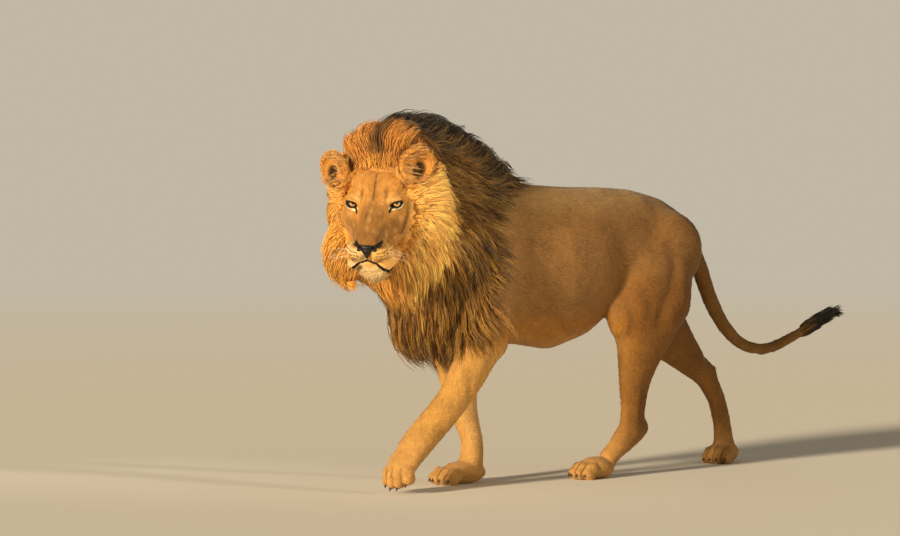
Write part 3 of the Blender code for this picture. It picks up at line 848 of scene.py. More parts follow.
def ruffShare(local):
    # 1 on the golden collar round the face
    a, b, c = local.T
    reach = np.hypot((a - 0.010) / 0.235, (c + 0.060) / np.where(c > -0.06, 0.285, 0.270))
    return ramp(b, -0.215, -0.160) * ramp(reach, 1.10, 0.92)


crestLine = {
    "x": (-0.42, -0.36, -0.27, -0.15, -0.02, 0.11, 0.22, 0.31, 0.40),
    "z": (1.19, 1.25, 1.305, 1.309, 1.265, 1.190, 1.108, 1.056, 1.040),
}


def crestShare(points):
    # 1 along the dark ridge of the neck
    x, _, z = inBody(points).T
    return ramp(z - np.interp(x, crestLine["x"], crestLine["z"]), -0.175, -0.060)


def tuftShare(points):
    return ramp(inBody(points)[:, 0], 1.650, 1.700)


def tailShare(points):
    x, y, z = inBody(points).T
    return (ramp(x, 1.06, 1.12) * ramp(np.abs(z - tailHeight(x)), 0.16, 0.08)
            * ramp(np.abs(y), 0.085, 0.055))


def legShare(points):
    x, _, z = inBody(points).T
    return ramp(z, 0.56, 0.44) * ramp(x, 1.5, 1.42)


def pawShare(points):
    x, _, z = inBody(points).T
    lifted = ramp(x, -0.22, -0.27) * ramp(z, 0.24, 0.18)
    return np.maximum(ramp(z, 0.085, 0.060), lifted) * ramp(x, 1.5, 1.42)


def vectors(*parts):
    # one unit vector for each point, from its three parts
    return unit(np.stack(np.broadcast_arrays(*parts), 1))


def lieOfCoat(points):
    # the way the hair points at these places, before it is laid along the skin
    x, y, z = inBody(points).T
    local = inHead(points)
    a, _, c = local.T
    flank = vectors(1.0, 0.0, -0.35 - 0.5 * ramp(z, 0.75, 0.50))
    slope = -np.radians(12 + 58 * ramp(z, 1.10, 0.66))
    neck = vectors(np.cos(slope), 0.12 * np.sign(y), np.sin(slope))
    crest = vectors(0.80, 0.5 * y, 0.75)
    step = 0.02
    rise = np.where(x > 1.8, 0.4 * step, tailHeight(x + step) - tailHeight(x))
    face = vectors(a * 1.3, -0.085, c + 0.085) @ headArray.T
    radial = vectors(a - 0.005, 0.0, c + 0.075)
    collar = np.stack([radial[:, 0], np.full(len(points), -0.50), radial[:, 2]], 1) @ headArray.T
    collar = unit(collar + downward * (0.25 + 0.75 * ramp(c, 0.02, -0.20))[:, None])
    crown = vectors(radial[:, 0] * 0.9, -0.75, radial[:, 2] * 1.1) @ headArray.T
    chest = ramp(x, -0.13, -0.20) * ramp(z, 0.86, 0.76)
    lie = flank
    for way, share in (
        (unit(np.array((0.25, 0.0, -1.0))), legShare(points)),
        (unit(np.array((-1.0, 0.0, -0.35))), pawShare(points)),
        (vectors(step, 0.0, rise), np.maximum(tailShare(points), tuftShare(points))),
        (mix(neck, crest, crestShare(points)), maneShare(points)),
        (unit(downward + np.array((0.12, 0, 0))), chest * maneShare(points)),
        (unit(mix(collar, crown, ramp(c, 0.04, 0.12))), ruffShare(local)),
        (face, faceShare(local)),
    ):
        lie = mix(lie, way, share)
    for side in (1, -1):
        place = np.array(earPlace(side))
        own = ownFrame(points, place)
        out = vectors(own[:, 0] * 0.7, 0.0, own[:, 2] + 0.06) @ place[:3, :3].T
        lie = mix(lie, out, ramp(lengthOf(own), 0.080, 0.062))
    return unit(lie)


def linear(code):
    values = np.array([int(code[i:i + 2], 16) / 255 for i in (0, 2, 4)])
    return np.where(values <= 0.04045, values / 12.92, ((values + 0.055) / 1.055) ** 2.4)


coatColours = {
    "back": "A88452",
    "flank": "8E6536",
    "belly": "A46E28",
    "leg": "C08E48",
    "paw": "BE8E50",
    "innerLeg": "C89E60",
    "tail": "8A6230",
    # painted shade on the lower hind legs
    "hindLegShade": "7E5220",
    "shadow": "6A4A26",
    "tuft": "221912",
    "face": "C48840",
    "bridge": "845A2A",
    "brow": "DDAF68",
    "darkLine": "50331A",
    "black": "140F0C",
    "muzzle": "E4AE60",
    "chin": "E6C48C",
    "pale": "F4E2B8",
    "ruff": "E8A84C",
    # painted light on the ruff's left side
    "litRuff": "FFC268",
    "crown": "D08F42",
    "neck": "805616",
    "neckDark": "503A18",
    "crest": "32261A",
    "chest": "9A6820",
    "earBack": "3F2D1A",
}
tint = {name: linear(code) for name, code in coatColours.items()}


def wander(points, size, seed):
    # a slow seeded wave between -1 and 1
    waves = np.random.default_rng(seed)
    total = np.zeros(len(points))
    for _ in range(5):
        way = unit(waves.normal(size=3)) * (2 * math.pi / size) * waves.uniform(0.6, 1.6)
        total += np.sin(points @ way + waves.uniform(0, 2 * math.pi))
    return total / 3.2


def layered(colour, layers):
    # lays colours over each other, each with its share at every point
    colour = tint[colour] if isinstance(colour, str) else colour
    for over, share in layers:
        colour = mix(colour, tint[over] if isinstance(over, str) else over, share)
    return colour


def pawLayers(points):
    # painted shade in the clefts between the toes and round the claws, and the bare black pads,
    # whose lowest band along the floor is also painted contact shadow
    for paw in paws.values():
        foot = ownFrame(points, np.array(paw["place"]))
        height, wide, half = foot[:, 2] - paw["drop"], paw["wide"], paw["half"]
        near = ramp(lengthOf(foot[:, :2]), 0.16, 0.15) * ramp(height, 0.11, 0.09)
        gap = np.min([np.abs(foot[:, 1] - k * 0.0283 * wide) for k in (-1, 0, 1)], axis=0)
        toeCleftShade = blob([gap], [0], [0.0030]) * ramp(foot[:, 0] + half, 0.070, 0.045)
        yield "darkLine", near * toeCleftShade * 0.7
        for _, tip, across in toes(paw):
            clawCleftShade = (foot - (tip + 0.004, across, 0.020 + paw["drop"])) / (0.012, 0.0055, 0.009)
            yield "darkLine", ramp(lengthOf(clawCleftShade), 1.2, 0.7) * 0.8
        sole = np.hypot(foot[:, 0] / half, foot[:, 1] / (0.050 * wide))
        yield "black", near * ramp(height, 0.009, 0.003) * ramp(sole, 1.0, 0.85) * 0.8


def earLayers(points, normals):
    for side in (1, -1):
        place = np.array(earPlace(side))
        own = ownFrame(points, place)
        mouth = ramp(normals @ place[:3, 1], -0.2, 0.4)
        canal = (own[:, (0, 2)] - (side * 0.016, -0.014)) / (0.026, 0.034)
        ear = layered("earBack", [
            ("crown", mouth),
            # painted shade in the ear canal
            ("black", mouth * ramp(lengthOf(canal), 1.1, 0.6) * 0.9),
            ("ruff", ramp(lengthOf(own[:, (0, 2)] / (0.057, 0.061)), 0.80, 0.92) * 0.8),
        ])
        yield ear, ramp(lengthOf(own), 0.070, 0.060)


def coatColour(points, normals):
    x, y, z = inBody(points).T
    local = inHead(points)
    a, b, c = local.T
    jitter = 0.02 * wander(points, 0.07, 3)
    patches = ramp(wander(points * (1.4, 1.0, 0.5), 0.055, 31), 0.0, 1.0) * 0.16
    streaks = ramp(wander(points * (1.0, 1.0, 0.4), 0.022, 32), 0.0, 1.0) * 0.16
    inner = ramp(-normals[:, 1] * np.sign(y), 0.25, 0.8) * ramp(z, 0.62, 0.5)
    hock = (ramp(z, 0.10, 0.17) * ramp(z, 0.40, 0.30) * ramp(x, 0.5, 0.6)
            * ramp(normals[:, 0], 0.3, 0.85) * ramp(x, 1.5, 1.42))
    neck = layered("neck", [
        ("neckDark", ramp(wander(points, 0.10, 5), 0.1, 0.9) * 0.55),
        ("chest", ramp(z, 0.84, 0.70) * 0.7),
        ("crest", crestShare(points)),
        ("neckDark", ramp(x, -0.02, 0.06) * 0.6),
    ])
    stripe = blob([a - 0.006 * wander(points, 0.05, 8)], [0.004], [0.020])
    ruff = layered("ruff", [
        # painted light: the ruff on its left side, turned from the key light, is painted paler as
        # if the light shone through it
        ("litRuff", ramp(a, 0.05, 0.12)),
        ("crown", ramp(c, 0.06, 0.15)),
        ("crest", stripe * ramp(c, 0.128, 0.150) * 0.85),
        ("crest", ramp(b, -0.12, -0.19) * ramp(c, 0.10, 0.20)),
    ])
    shortHair = np.maximum(ramp(faceFar(local), 1.02, 0.76), faceShare(local) * ramp(b, 0.03, 0.07))
    # painted shade under the hanging upper lips, at the corners of the mouth
    lips = blob((np.abs(a), c), (0.090, -0.207), (0.016, 0.012)) * ramp(b, -0.05, -0.02)
    return np.clip(layered("flank", [
        ("back", ramp(z, 0.90, 1.04)),
        ("belly", ramp(z + jitter, 0.64, 0.52) * ramp(x, 1.1, 0.9)),
        ("leg", legShare(points)),
        ("shadow", patches + streaks),
        ("innerLeg", inner * 0.7),
        # painted shade: the hind legs below the haunch are darkened to stand for the shade they lie
        # in
        ("hindLegShade", ramp(x, 0.58, 0.72) * ramp(z + jitter, 0.78, 0.64) * 0.85),
        ("paw", np.maximum(pawShare(points), ramp(z, 0.20, 0.05)) * 0.8),
        *pawLayers(points),
        ("tail", tailShare(points)),
        ("tuft", tuftShare(points)),
        ("darkLine", hock * 0.7),
        (neck, maneShare(points)),
        (ruff, ruffShare(local) * ramp(b + jitter, -0.205, -0.165)),
        (faceColour(local), shortHair),
        ("bridge", hairline(local) * ramp(wander(points, 0.03, 33), -0.6, 0.6) * 0.45),
        # painted shade at the corners of the mouth
        ("darkLine", lips * 0.85),
        *earLayers(points, normals),
    ]), 0, 1)


# lines in the plane of an eye, from its middle: towards the outer corner, and up
eyeLines = {
    "tear": ([(-0.012, -0.005), (-0.022, -0.008), (-0.028, -0.015)], 0.0054, 0.0030),
    "corner": ([(0.018, 0.001), (0.030, 0.003)], 0.0042, 0.0022),
}
# painted shade along the edge where the face turns into the cheek: left and up
cheekShadeLine = [(0.108, 0.000), (0.110, -0.035), (0.102, -0.070), (0.088, -0.098)]
noseWings = [(0.042, -0.081), (0.028, -0.083), (0.0, -0.080)]


def eyeLayers(local):
    # pale rings, dark lids and the dark lines that run from the corners
    for side in (1, -1):
        own = ownFrame(local @ headArray.T + eyesArray, np.array(eyePlace(side)))
        u, v = own[:, 0] * side, own[:, 2]
        plane = np.stack([u, v], 1)
        outside = ramp(own[:, 1], 0.0, 0.008)
        rim = [(x * eyeShape["halfLength"], height * almondHeight(x))
               for height in (-eyeShape["lower"], eyeShape["upper"])
               for x in np.linspace(-1, 1, 11)]
        near = lineDistance(plane, rim)
        yield "pale", ramp(near, 0.0120, 0.0090) * ramp(v, -0.001, -0.005) * outside * 0.95
        over = blob([v], [0.0150], [0.0040]) * ramp(np.abs(u), 0.024, 0.012)
        yield "brow", over * outside * 0.6
        lid = 0.0030 + 0.0032 * ramp(v, 0.0, 0.004)
        yield "black", ramp(near - lid, 0.0006, -0.0012) * outside
        for path, outer, inner in eyeLines.values():
            yield "black", ramp(lineDistance(plane, path), outer, inner) * outside


def faceColour(local):
    a, b, c = local.T
    side = np.abs(a)
    plane = facePlane(local)
    front = ramp(b, 0.06, 0.10)
    muzzle = ramp(b, 0.10, 0.14) * ramp(c, -0.082, -0.100)
    middle = blob([a], [-0.002], [0.016]) * ramp(c, 0.11, 0.06) * ramp(c, -0.02, 0.02)
    flecks = [wander(local * (1.0, 0.4, 0.5), size, seed)
              for size, seed in ((0.016, 21), (0.020, 22))]
    leather = np.maximum(ramp(lineDistance(plane, noseWings), 0.0058, 0.0040),
                         ramp(side - 0.95 * (c + 0.115), 0.002, -0.001) * ramp(c, -0.074, -0.078))
    # the black lip line, widened towards the corners with painted shade under the hanging upper
    # lips
    lip = lineDistance(plane, lipLine) - 0.0038 * ramp(side, 0.02, 0.07)
    return layered("face", [
        ("bridge", ramp(side, 0.050, 0.025) * ramp(c, 0.04, -0.01) * 0.8),
        ("bridge", ramp(side, 0.085, 0.060) * ramp(c, -0.02, -0.05) * 0.7),
        ("brow", blob((side, c), (0.060, 0.030), (0.022, 0.012)) * 0.8),
        ("bridge", blob((side, c), (0.080, -0.055), (0.030, 0.035)) * 0.75),    # cheeks
        ("bridge", middle * 0.55),
        ("bridge", ramp(flecks[0], 0.0, 0.9) * 0.40),
        ("brow", ramp(flecks[1], 0.2, 0.9) * 0.30),
        ("darkLine", blob((side, c), (0.041, 0.042), (0.006, 0.018)) * 0.70),   # over the eyes
        ("darkLine", groove(plane, browLine, 0.0035) * 0.75),
        ("darkLine", blob((a, c), (-0.014, -0.004), (0.0035, 0.0060)) * 0.7),   # a scar
        # painted shade where the face turns into the cheek, on its left side, which is turned from
        # the key light
        ("darkLine", groove(plane, cheekShadeLine, 0.005) * ramp(a, -0.01, 0.02) * 0.75),
        ("muzzle", np.maximum(muzzle, ramp(c, -0.12, -0.15) * front)),
        # painted highlight: the muzzle is paler on its right side, which faces the key light
        ("pale", muzzle * ramp(-a, -0.005, 0.015) * 0.35),
        ("chin", ramp(c, -0.150, -0.172) * front * ramp(side, 0.062, 0.045)),
        *eyeLayers(local),
        ("black", leather * ramp(b, 0.12, 0.14)),
        ("black", spotRows(local) * 0.9),
        ("black", ramp(lip, 0.0046, 0.0026) * ramp(b, 0.02, 0.05)),
        ("black", ramp(lineDistance(plane, philtrum), 0.0036, 0.0018) * front),
    ])


whiskerRows = [
    # from the nose outwards: left and up, in the head's frame
    [(0.036, -0.103), (0.070, -0.099)],
    [(0.033, -0.113), (0.074, -0.110)],
    [(0.036, -0.123), (0.074, -0.123)],
    [(0.040, -0.133), (0.070, -0.135)],
]
spotsPerRow = 6
spotPlaces = [np.array(start) + (np.array(end) - np.array(start)) * share
              for start, end in whiskerRows for share in np.linspace(0, 1, spotsPerRow)]


def spotRows(local):
    plane = facePlane(local)
    share = np.max([blob([lengthOf((plane - spot) / (1.5, 1.0))], [0], [0.0019])
                    for spot in spotPlaces], axis=0)
    return share * ramp(local[:, 1], 0.08, 0.11)


def paint(obj, colours):
    layer = obj.data.color_attributes.new("coat", "FLOAT_COLOR", "POINT")
    filled = np.ones((len(colours), 4), np.float32)
    filled[:, :3] = colours
    layer.data.foreach_set("color", filled.ravel())


crown = hairline(inHead(pointsOf(skin))) * (1 - earShare(pointsOf(skin)))
soften(skin, headSkin["crownPasses"], crown)
paint(skin, coatColour(pointsOf(skin), normalsOf(skin)))
print("skin painted")


def addNode(tree, kind, settings=None, inputs=None):
    # adds a shader node, sets its properties, and sets or links its inputs
    node = tree.nodes.new("ShaderNode" + kind)
    for name, value in (settings or {}).items():
        setattr(node, name, value)
    for name, value in (inputs or {}).items():
        if isinstance(value, bpy.types.NodeSocket):
            tree.links.new(value, node.inputs[name])
        else:
            node.inputs[name].default_value = value
    return node


def newMaterial(name, settings):
    material = bpy.data.materials.new(name)
    material.use_nodes = True
    shader = material.node_tree.nodes["Principled BSDF"]
    for socket, value in settings.items():
        shader.inputs[socket].default_value = value
    return material, material.node_tree, shader


def rgba(code):
    return (*linear(code), 1.0)


def addBump(tree, shader, height, strength, distance):
    bump = addNode(tree, "Bump", None, {"Height": height, "Strength": strength,
                                        "Distance": distance})
    tree.links.new(bump.outputs["Normal"], shader.inputs["Normal"])


def noiseTone(tree, vector, scale, roughness, low, high):
    # a noise, and the same noise as a factor between two values
    noise = addNode(tree, "TexNoise", None, {"Vector": vector, "Scale": scale, "Detail": 3.0,
                                             "Roughness": roughness}).outputs["Fac"]
    return noise, addNode(tree, "MapRange", None, {"Value": noise, "From Min": 0.3, "From Max": 0.7,
                                                   "To Min": low, "To Max": high}).outputs[0]


def shortFur():
    # short dense guard hair, 10 mm long and lying flat: a soft matt nap with fine streaks along it
    material, tree, shader = newMaterial("shortLionFur", {
        "Roughness": 0.80, "Specular IOR Level": 0.12,
        "Sheen Weight": 0.10, "Sheen Roughness": 0.5})
    own = addNode(tree, "Attribute", {"attribute_name": "coat"}).outputs["Color"]
    place = addNode(tree, "TexCoord").outputs["Object"]
    # streaks 3 mm across and 15 mm long, and slow patches
    drawn = addNode(tree, "Mapping", None, {"Vector": place, "Scale": (65, 330, 230)})
    streak, shade = noiseTone(tree, drawn.outputs["Vector"], 1.0, 0.6, 0.70, 1.20)
    _, cloud = noiseTone(tree, place, 14.0, 0.55, 0.82, 1.12)
    both = addNode(tree, "Math", {"operation": "MULTIPLY"}, {0: shade, 1: cloud}).outputs[0]
    tinted = addNode(tree, "VectorMath", {"operation": "SCALE"}, {0: own, "Scale": both})
    tree.links.new(tinted.outputs["Vector"], shader.inputs["Base Color"])
    addBump(tree, shader, streak, 0.5, 0.003)
    return material


def longHair():
    # long mane hair, coarse and slightly glossy, each lock a little different from the next
    material, tree, shader = newMaterial("maneHair", {
        "Roughness": 0.60, "Specular IOR Level": 0.25,
        "Sheen Weight": 0.15, "Sheen Roughness": 0.4})
    own = addNode(tree, "Attribute", {"attribute_name": "coat"})
    tree.links.new(own.outputs["Color"], shader.inputs["Base Color"])
    return material


def finishPiece(obj, material):
    obj.data.materials.clear()
    obj.data.materials.append(material)
    obj.data.shade_smooth()
    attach(obj, "root")


def trianglesOf(mesh, field="vertices"):
    return readMesh(mesh.loop_triangles, field, 3, np.int32)


def treeOf(points, corners):
    return BVHTree.FromPolygons([tuple(point) for point in points], corners.tolist())


hairMaterial = longHair()
skinPoints = pointsOf(skin)
skinNormals = normalsOf(skin)
skin.data.calc_loop_triangles()
corners = trianglesOf(skin.data)
skinTree = treeOf(skinPoints, corners)
cornerPoints = skinPoints[corners]
faceArea = lengthOf(np.cross(cornerPoints[:, 1] - cornerPoints[:, 0],
                              cornerPoints[:, 2] - cornerPoints[:, 0])) / 2
faceMiddle = cornerPoints.mean(1)
print("skin ready for hair:", len(corners), "triangles, area", round(float(faceArea.sum()), 3),
      "m2")


def unwrapOf(obj):
    # a light copy of the skin, unwrapped by its own shape, gives each hair its place on the map
    light = linked("light", obj.data.copy())
    light.modifiers.new("reduce", "DECIMATE").ratio = 0.04
    bake(light)
    pick([light])
    bpy.ops.object.mode_set(mode="EDIT")
    bpy.ops.mesh.select_all(action="SELECT")
    bpy.ops.uv.smart_project(angle_limit=math.radians(66), island_margin=0.004)
    bpy.ops.object.mode_set(mode="OBJECT")
    mesh = light.data
    mesh.calc_loop_triangles()
    uv = readMesh(mesh.uv_layers.active.data, "uv", 2)
    points, verts, places = pointsOf(light), trianglesOf(mesh), uv[trianglesOf(mesh, "loops")]
    bpy.data.objects.remove(light, do_unlink=True)
    return treeOf(points, verts), points[verts], places


mapTree, mapPoints, mapPlaces = unwrapOf(skin)
print("skin unwrapped:", len(mapPlaces), "faces")


def placesOnMap(roots):
    found = np.array([mapTree.find_nearest(tuple(root))[2] for root in roots])
    one, two, three = mapPoints[found, 0], mapPoints[found, 1], mapPoints[found, 2]
    edgeA, edgeB, out = two - one, three - one, roots - one
    aa, ab, bb = (edgeA * edgeA).sum(1), (edgeA * edgeB).sum(1), (edgeB * edgeB).sum(1)
    ao, bo = (edgeA * out).sum(1), (edgeB * out).sum(1)
    scale = np.maximum(aa * bb - ab * ab, 1e-16)
    shareB = np.clip((bb * ao - ab * bo) / scale, 0, 1)
    shareC = np.clip((aa * bo - ab * ao) / scale, 0, 1)
    total = np.maximum(shareB + shareC, 1)
    shareB, shareC = (shareB / total)[:, None], (shareC / total)[:, None]
    return (mapPlaces[found, 0] * (1 - shareB - shareC) + mapPlaces[found, 1] * shareB
            + mapPlaces[found, 2] * shareC)


def scatter(count, weight):
    # seeded places on the skin, as many in each patch as its weight asks
    weighted = faceArea * np.maximum(weight, 0)
    ladder = np.cumsum(weighted)
    picks = (np.arange(count) + rng.uniform(0, 1, count)) / count * ladder[-1]
    chosen = np.clip(np.searchsorted(ladder, picks), 0, len(faceArea) - 1)
    one, two = rng.uniform(0, 1, (2, count))
    fold = one + two > 1
    one, two = np.where(fold, 1 - one, one), np.where(fold, 1 - two, two)
    shares = np.stack([1 - one - two, one, two], 1)[:, :, None]
    points = (cornerPoints[chosen] * shares).sum(1)
    normals = unit((skinNormals[corners[chosen]] * shares).sum(1))
    return points, normals


def growGuides(roots, normals, lengths, rise, droop, steps, clear, lieOf):
    # walks each hair over the skin: it rises from the root, lies down, and sinks under its weight
    lines = [roots]
    spot = roots.copy()
    facing = normals.copy()
    for i in range(steps):
        share = (i + 0.5) / steps
        lie = lieOf(spot)
        along = unit(lie - facing * dot(lie, facing))
        lift = (rise * (1 - share) ** 1.2)[:, None]
        heading = along * np.cos(lift) + facing * np.sin(lift) + downward * (droop * share)[:, None]
        spot = spot + unit(heading) * (lengths / steps)[:, None]
        found = [skinTree.find_nearest(tuple(place)) for place in spot]
        foot = np.array([hit[0] for hit in found])
        facing = unit(0.5 * facing + 0.5 * np.array([hit[1] for hit in found]))
        height = dot(spot - foot, facing)[:, 0]
        short = np.maximum(clear * share - height, 0)
        spot = spot + facing * short[:, None]
        lines.append(spot)
    return np.stack(lines, 1)


def strandsAround(guides, normals, kind):
    # each lock is a bundle of strands that draw together towards the tip
    count, rings = guides.shape[:2]
    each = kind["strands"]
    along = unit(np.gradient(guides, axis=1))
    side = unit(np.cross(along, normals[:, None, :]))
    up = np.cross(side, along)
    share = np.linspace(0, 1, rings)
    pinch = 1 - kind["clump"] * share
    spread = rng.normal(size=(count, each, 2)) * kind["spread"]
    spread[..., 1] = np.abs(spread[..., 1]) * (0.08 if kind.get("flat") else 0.7)
    wave = rng.normal(size=(count, each, 2)) * kind["wave"]
    offA = spread[..., 0, None] * pinch + wave[..., 0, None] * np.sin(share * 4.5) * share
    offB = spread[..., 1, None] * pinch + wave[..., 1, None] * np.sin(share * 5.5 + 1) * share
    lines = guides[:, None] + side[:, None] * offA[..., None] + up[:, None] * offB[..., None]
    root = lines[:, :, :1]
    lines = root + (lines - root) * rng.uniform(kind["shortest"], 1.0, (count, each, 1, 1))
    lines = heldInside(lines).reshape(count * each, rings, 3)
    return lines, np.repeat(side, each, 0), np.repeat(up, each, 0)


hairLimits = {
    "margin": np.array((0.050, 0.014, 0.026)),    # how far past the solids hair may reach freely
    "give": 0.10,                                 # the share of its reach that it keeps beyond them
    "floor": 0.002,
    "triangles": 195000,                          # the most in one piece
    "patch": 0.003,                               # width of a hair's place on the map
}


def heldInside(lines):
    # no hair goes through the floor, and the widest ones lie closer to the body
    give, margin = hairLimits["give"], hairLimits["margin"]
    low, high = np.array(solidBox[0]) - margin, np.array(solidBox[1]) + margin
    lines = np.where(lines > high, high + (lines - high) * give, lines)
    lines = np.where(lines < low, low + (lines - low) * give, lines)
    lines[..., 2] = np.maximum(lines[..., 2], hairLimits["floor"])
    return lines


def strandFaces(body):
    # one strand's faces: their corners, how many each has, and their places on the map
    faces, sizes, shape = [], [], []
    for ring in range(body - 1):
        for k in range(3):
            low, high = ring * 3 + k, ring * 3 + (k + 1) % 3
            faces += [low, high, high + 3, low + 3]
            sizes.append(4)
            shape += [(k / 3, ring / body), ((k + 1) / 3, ring / body),
                      ((k + 1) / 3, (ring + 1) / body), (k / 3, (ring + 1) / body)]
    last = (body - 1) * 3
    for k in range(3):
        faces += [last + k, last + (k + 1) % 3, body * 3]
        sizes.append(3)
        shape += [(k / 3, (body - 1) / body), ((k + 1) / 3, (body - 1) / body),
                  ((k + 0.5) / 3, 1.0)]
    return faces + [2, 1, 0], sizes + [3], shape + [(1.0, 0.0), (0.5, 0.0), (0.0, 0.0)]


def strandTriangles(rings):
    return 6 * (rings - 2) + 4


hairTriangles = {}


def hairMesh(name, lines, side, up, widths, colours, flat):
    # every strand at once: three-sided rings that taper to a point, laid flat in short fur
    count, rings = lines.shape[:2]
    body = rings - 1
    share = np.linspace(0, 1, rings)[:-1]
    taper = np.interp(share, (0, 0.25, 0.55, 1.0), (0.8, 1.0, 0.75, 0.2))
    reach = (widths[:, None] * taper / 2)[:, :, None]
    turn = np.full(count, math.radians(30)) if flat else rng.uniform(0, 2 * math.pi, count)
    verts = np.empty((count, body * 3 + 1, 3))
    for k in range(3):
        angle = (turn - k * 2 * math.pi / 3)[:, None, None]
        out = side[:, :-1] * np.cos(angle) + up[:, :-1] * np.sin(angle) * (flat or 1.0)
        verts[:, k:body * 3:3] = lines[:, :-1] + out * reach
    verts[:, -1] = lines[:, -1]
    faces, sizes, shape = strandFaces(body)
    perStrand = body * 3 + 1
    corner = (np.array(faces)[None] + np.arange(count)[:, None] * perStrand).ravel()
    sizes = np.tile(sizes, count)
    mesh = bpy.data.meshes.new(name)
    mesh.vertices.add(count * perStrand)
    mesh.vertices.foreach_set("co", verts.astype(np.float32).ravel())
    mesh.loops.add(len(corner))
    mesh.loops.foreach_set("vertex_index", corner.astype(np.int32))
    mesh.polygons.add(len(sizes))
    mesh.polygons.foreach_set("loop_start", (np.cumsum(sizes) - sizes).astype(np.int32))
    mesh.polygons.foreach_set("use_smooth", np.full(len(sizes), not flat))
    mesh.update(calc_edges=True)
    obj = linked(name, mesh)
    depth = np.append(np.repeat(share, 3), 1.0)[None, :, None]
    base, tip = colours
    paint(obj, (base[:, None] * (1 - depth) + tip[:, None] * depth).reshape(-1, 3))
    patch = hairLimits["patch"]
    place = np.clip(placesOnMap(lines[:, 0]), patch, 1 - patch)
    uv = place[:, None] + (np.array(shape)[None] - 0.5) * patch
    mesh.uv_layers.new(name="OFBake").data.foreach_set("uv", uv.astype(np.float32).ravel())
    hairTriangles[name] = count * strandTriangles(rings)
    mesh.materials.append(hairMaterial)
    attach(obj, "root")
    print(name, count, "strands", hairTriangles[name], "triangles")


def growLocks(name, kind):
    weight = kind["where"](faceMiddle, inHead(faceMiddle))
    roots, normals = scatter(kind["locks"], weight)
    local, each = inHead(roots), kind["strands"]
    lengths = kind["length"](roots, local) * rng.uniform(0.8, 1.2, len(roots))
    rise = np.radians(kind["rise"]) * rng.uniform(0.6, 1.3, len(roots))
    if "riseAt" in kind:
        rise = rise * kind["riseAt"](roots, local)
    droop = kind["droop"] * rng.uniform(0.6, 1.4, len(roots))
    guides = growGuides(roots, normals, lengths, rise, droop, kind["steps"], kind["clear"],
                        kind.get("lie", lieOfCoat))
    lines, side, up = strandsAround(guides, normals, kind)
    tone = np.repeat(1 + kind["tone"] * rng.normal(size=(len(roots), 1)), each, 0)
    tone = np.clip(tone * (1 + 0.10 * rng.normal(size=(len(lines), 1))), 0.35, 1.7)
    base = np.repeat(coatColour(roots, normals), each, 0)
    base, tip = kind["dye"](base, np.repeat(roots, each, 0), tone)
    widths = kind["width"] * rng.uniform(0.75, 1.25, len(lines))
    pieces = math.ceil(len(lines) * strandTriangles(lines.shape[1]) / hairLimits["triangles"])
    for i, part in enumerate(np.array_split(np.arange(len(lines)), pieces)):
        label = name if pieces == 1 else name + str(i + 1)
        hairMesh(label, lines[part], side[part], up[part], widths[part], (base[part], tip[part]),
                 kind.get("flat", 0))


def plainDye(base, roots, tone):
    return base * tone * 0.80, np.clip(base * tone * 1.12, 0, 1)


def furDye(base, roots, tone):
    # short fur keeps the skin's own colour, so that single hairs don't stand out
    return base * (0.6 + 0.4 * tone) * 0.96, np.clip(base * (0.5 + 0.5 * tone) * 1.06, 0, 1)


def maneDye(base, roots, tone):
    # brown at the root, with one lock in three golden towards the tip
    each = maneHair["strands"]
    gold = np.repeat(rng.uniform(size=(len(base) // each, 1)), each, 0)
    bright = (gold > 0.62) * (1 - crestShare(roots)[:, None]) * 0.75
    tip = base * tone * 1.15
    tip = tip * (1 - bright) + linear("A9843F") * tone * bright
    tip = tip * (1 - (gold < 0.30) * 0.55)
    return base * tone * 0.75, np.clip(tip, 0, 1)


def ruffDye(base, roots, tone):
    # golden right up to the pale muzzle and chin
    base = mix(base, tint["ruff"], ramp(faceFar(inHead(roots)), 1.03, 1.0))
    return base * tone * 0.85, np.clip(base * tone * 1.25, 0, 1)


def paleDye(base, roots, tone):
    return linear("B87C3C") * tone, np.clip(linear("E2B570") * tone, 0, 1)


def pressedOnFloor(points):
    return ramp(points[:, 2], 0.030, 0.012)


def awayFromMouth(local):
    # 0 at the corners of the mouth
    return ramp(lengthOf(folded(local, 0) - (0.092, 0.015, -0.200)), 0.022, 0.042)


def onChin(local):
    return ramp(lengthOf((local - (0.008, 0.135, -0.208)) / (0.066, 0.070, 0.036)), 1.1, 0.7)


def bareSkin(local):
    # 1 on the lips, the nose and the lids, which have no hair
    lips = ramp(lineDistance(facePlane(local), lipLine), 0.009, 0.005)
    lips = lips * ramp(local[:, 1], 0.06, 0.09)
    nose = lengthOf((local - (0, 0.190, -0.086)) / (0.052, 0.040, 0.034))
    eye = lengthOf((folded(local, 0) - (eyeShape["apart"], 0.030, 0)) / (0.030, 0.030, 0.020))
    return np.maximum(lips, ramp(np.minimum(nose, eye), 1.1, 0.9))


def lieInEar(points):
    # the pale hair inside an ear sweeps from its inner edge out over the hollow
    lie = np.zeros_like(points)
    for side in (1, -1):
        place = np.array(earPlace(side))
        own = ownFrame(points, place)
        near = lengthOf(own) < 0.12
        lie[near] = (vectors(side * 0.9, 0.35, 0.55 + 6 * own[:, 2]) @ place[:3, :3].T)[near]
    return lie


def innerEarShare(points):
    share = np.zeros(len(points))
    for side in (1, -1):
        own = ownFrame(points, np.array(earPlace(side)))
        inside = ramp(own[:, 1], -0.012, 0.002) * ramp(lengthOf(own), 0.074, 0.066)
        edge = ramp(own[:, 0] * side, -0.004, -0.022) + 0.7 * ramp(own[:, 2], -0.014, -0.034)
        share = np.maximum(share, inside * np.minimum(edge, 1))
    return share


def earRimShare(points):
    share = np.zeros(len(points))
    for side in (1, -1):
        own = ownFrame(points, np.array(earPlace(side)))
        rim = ramp(lengthOf(own[:, (0, 2)]), 0.040, 0.050) * ramp(own[:, 2], -0.045, -0.025)
        share = np.maximum(share, rim * ramp(lengthOf(own), 0.078, 0.070))
    return share


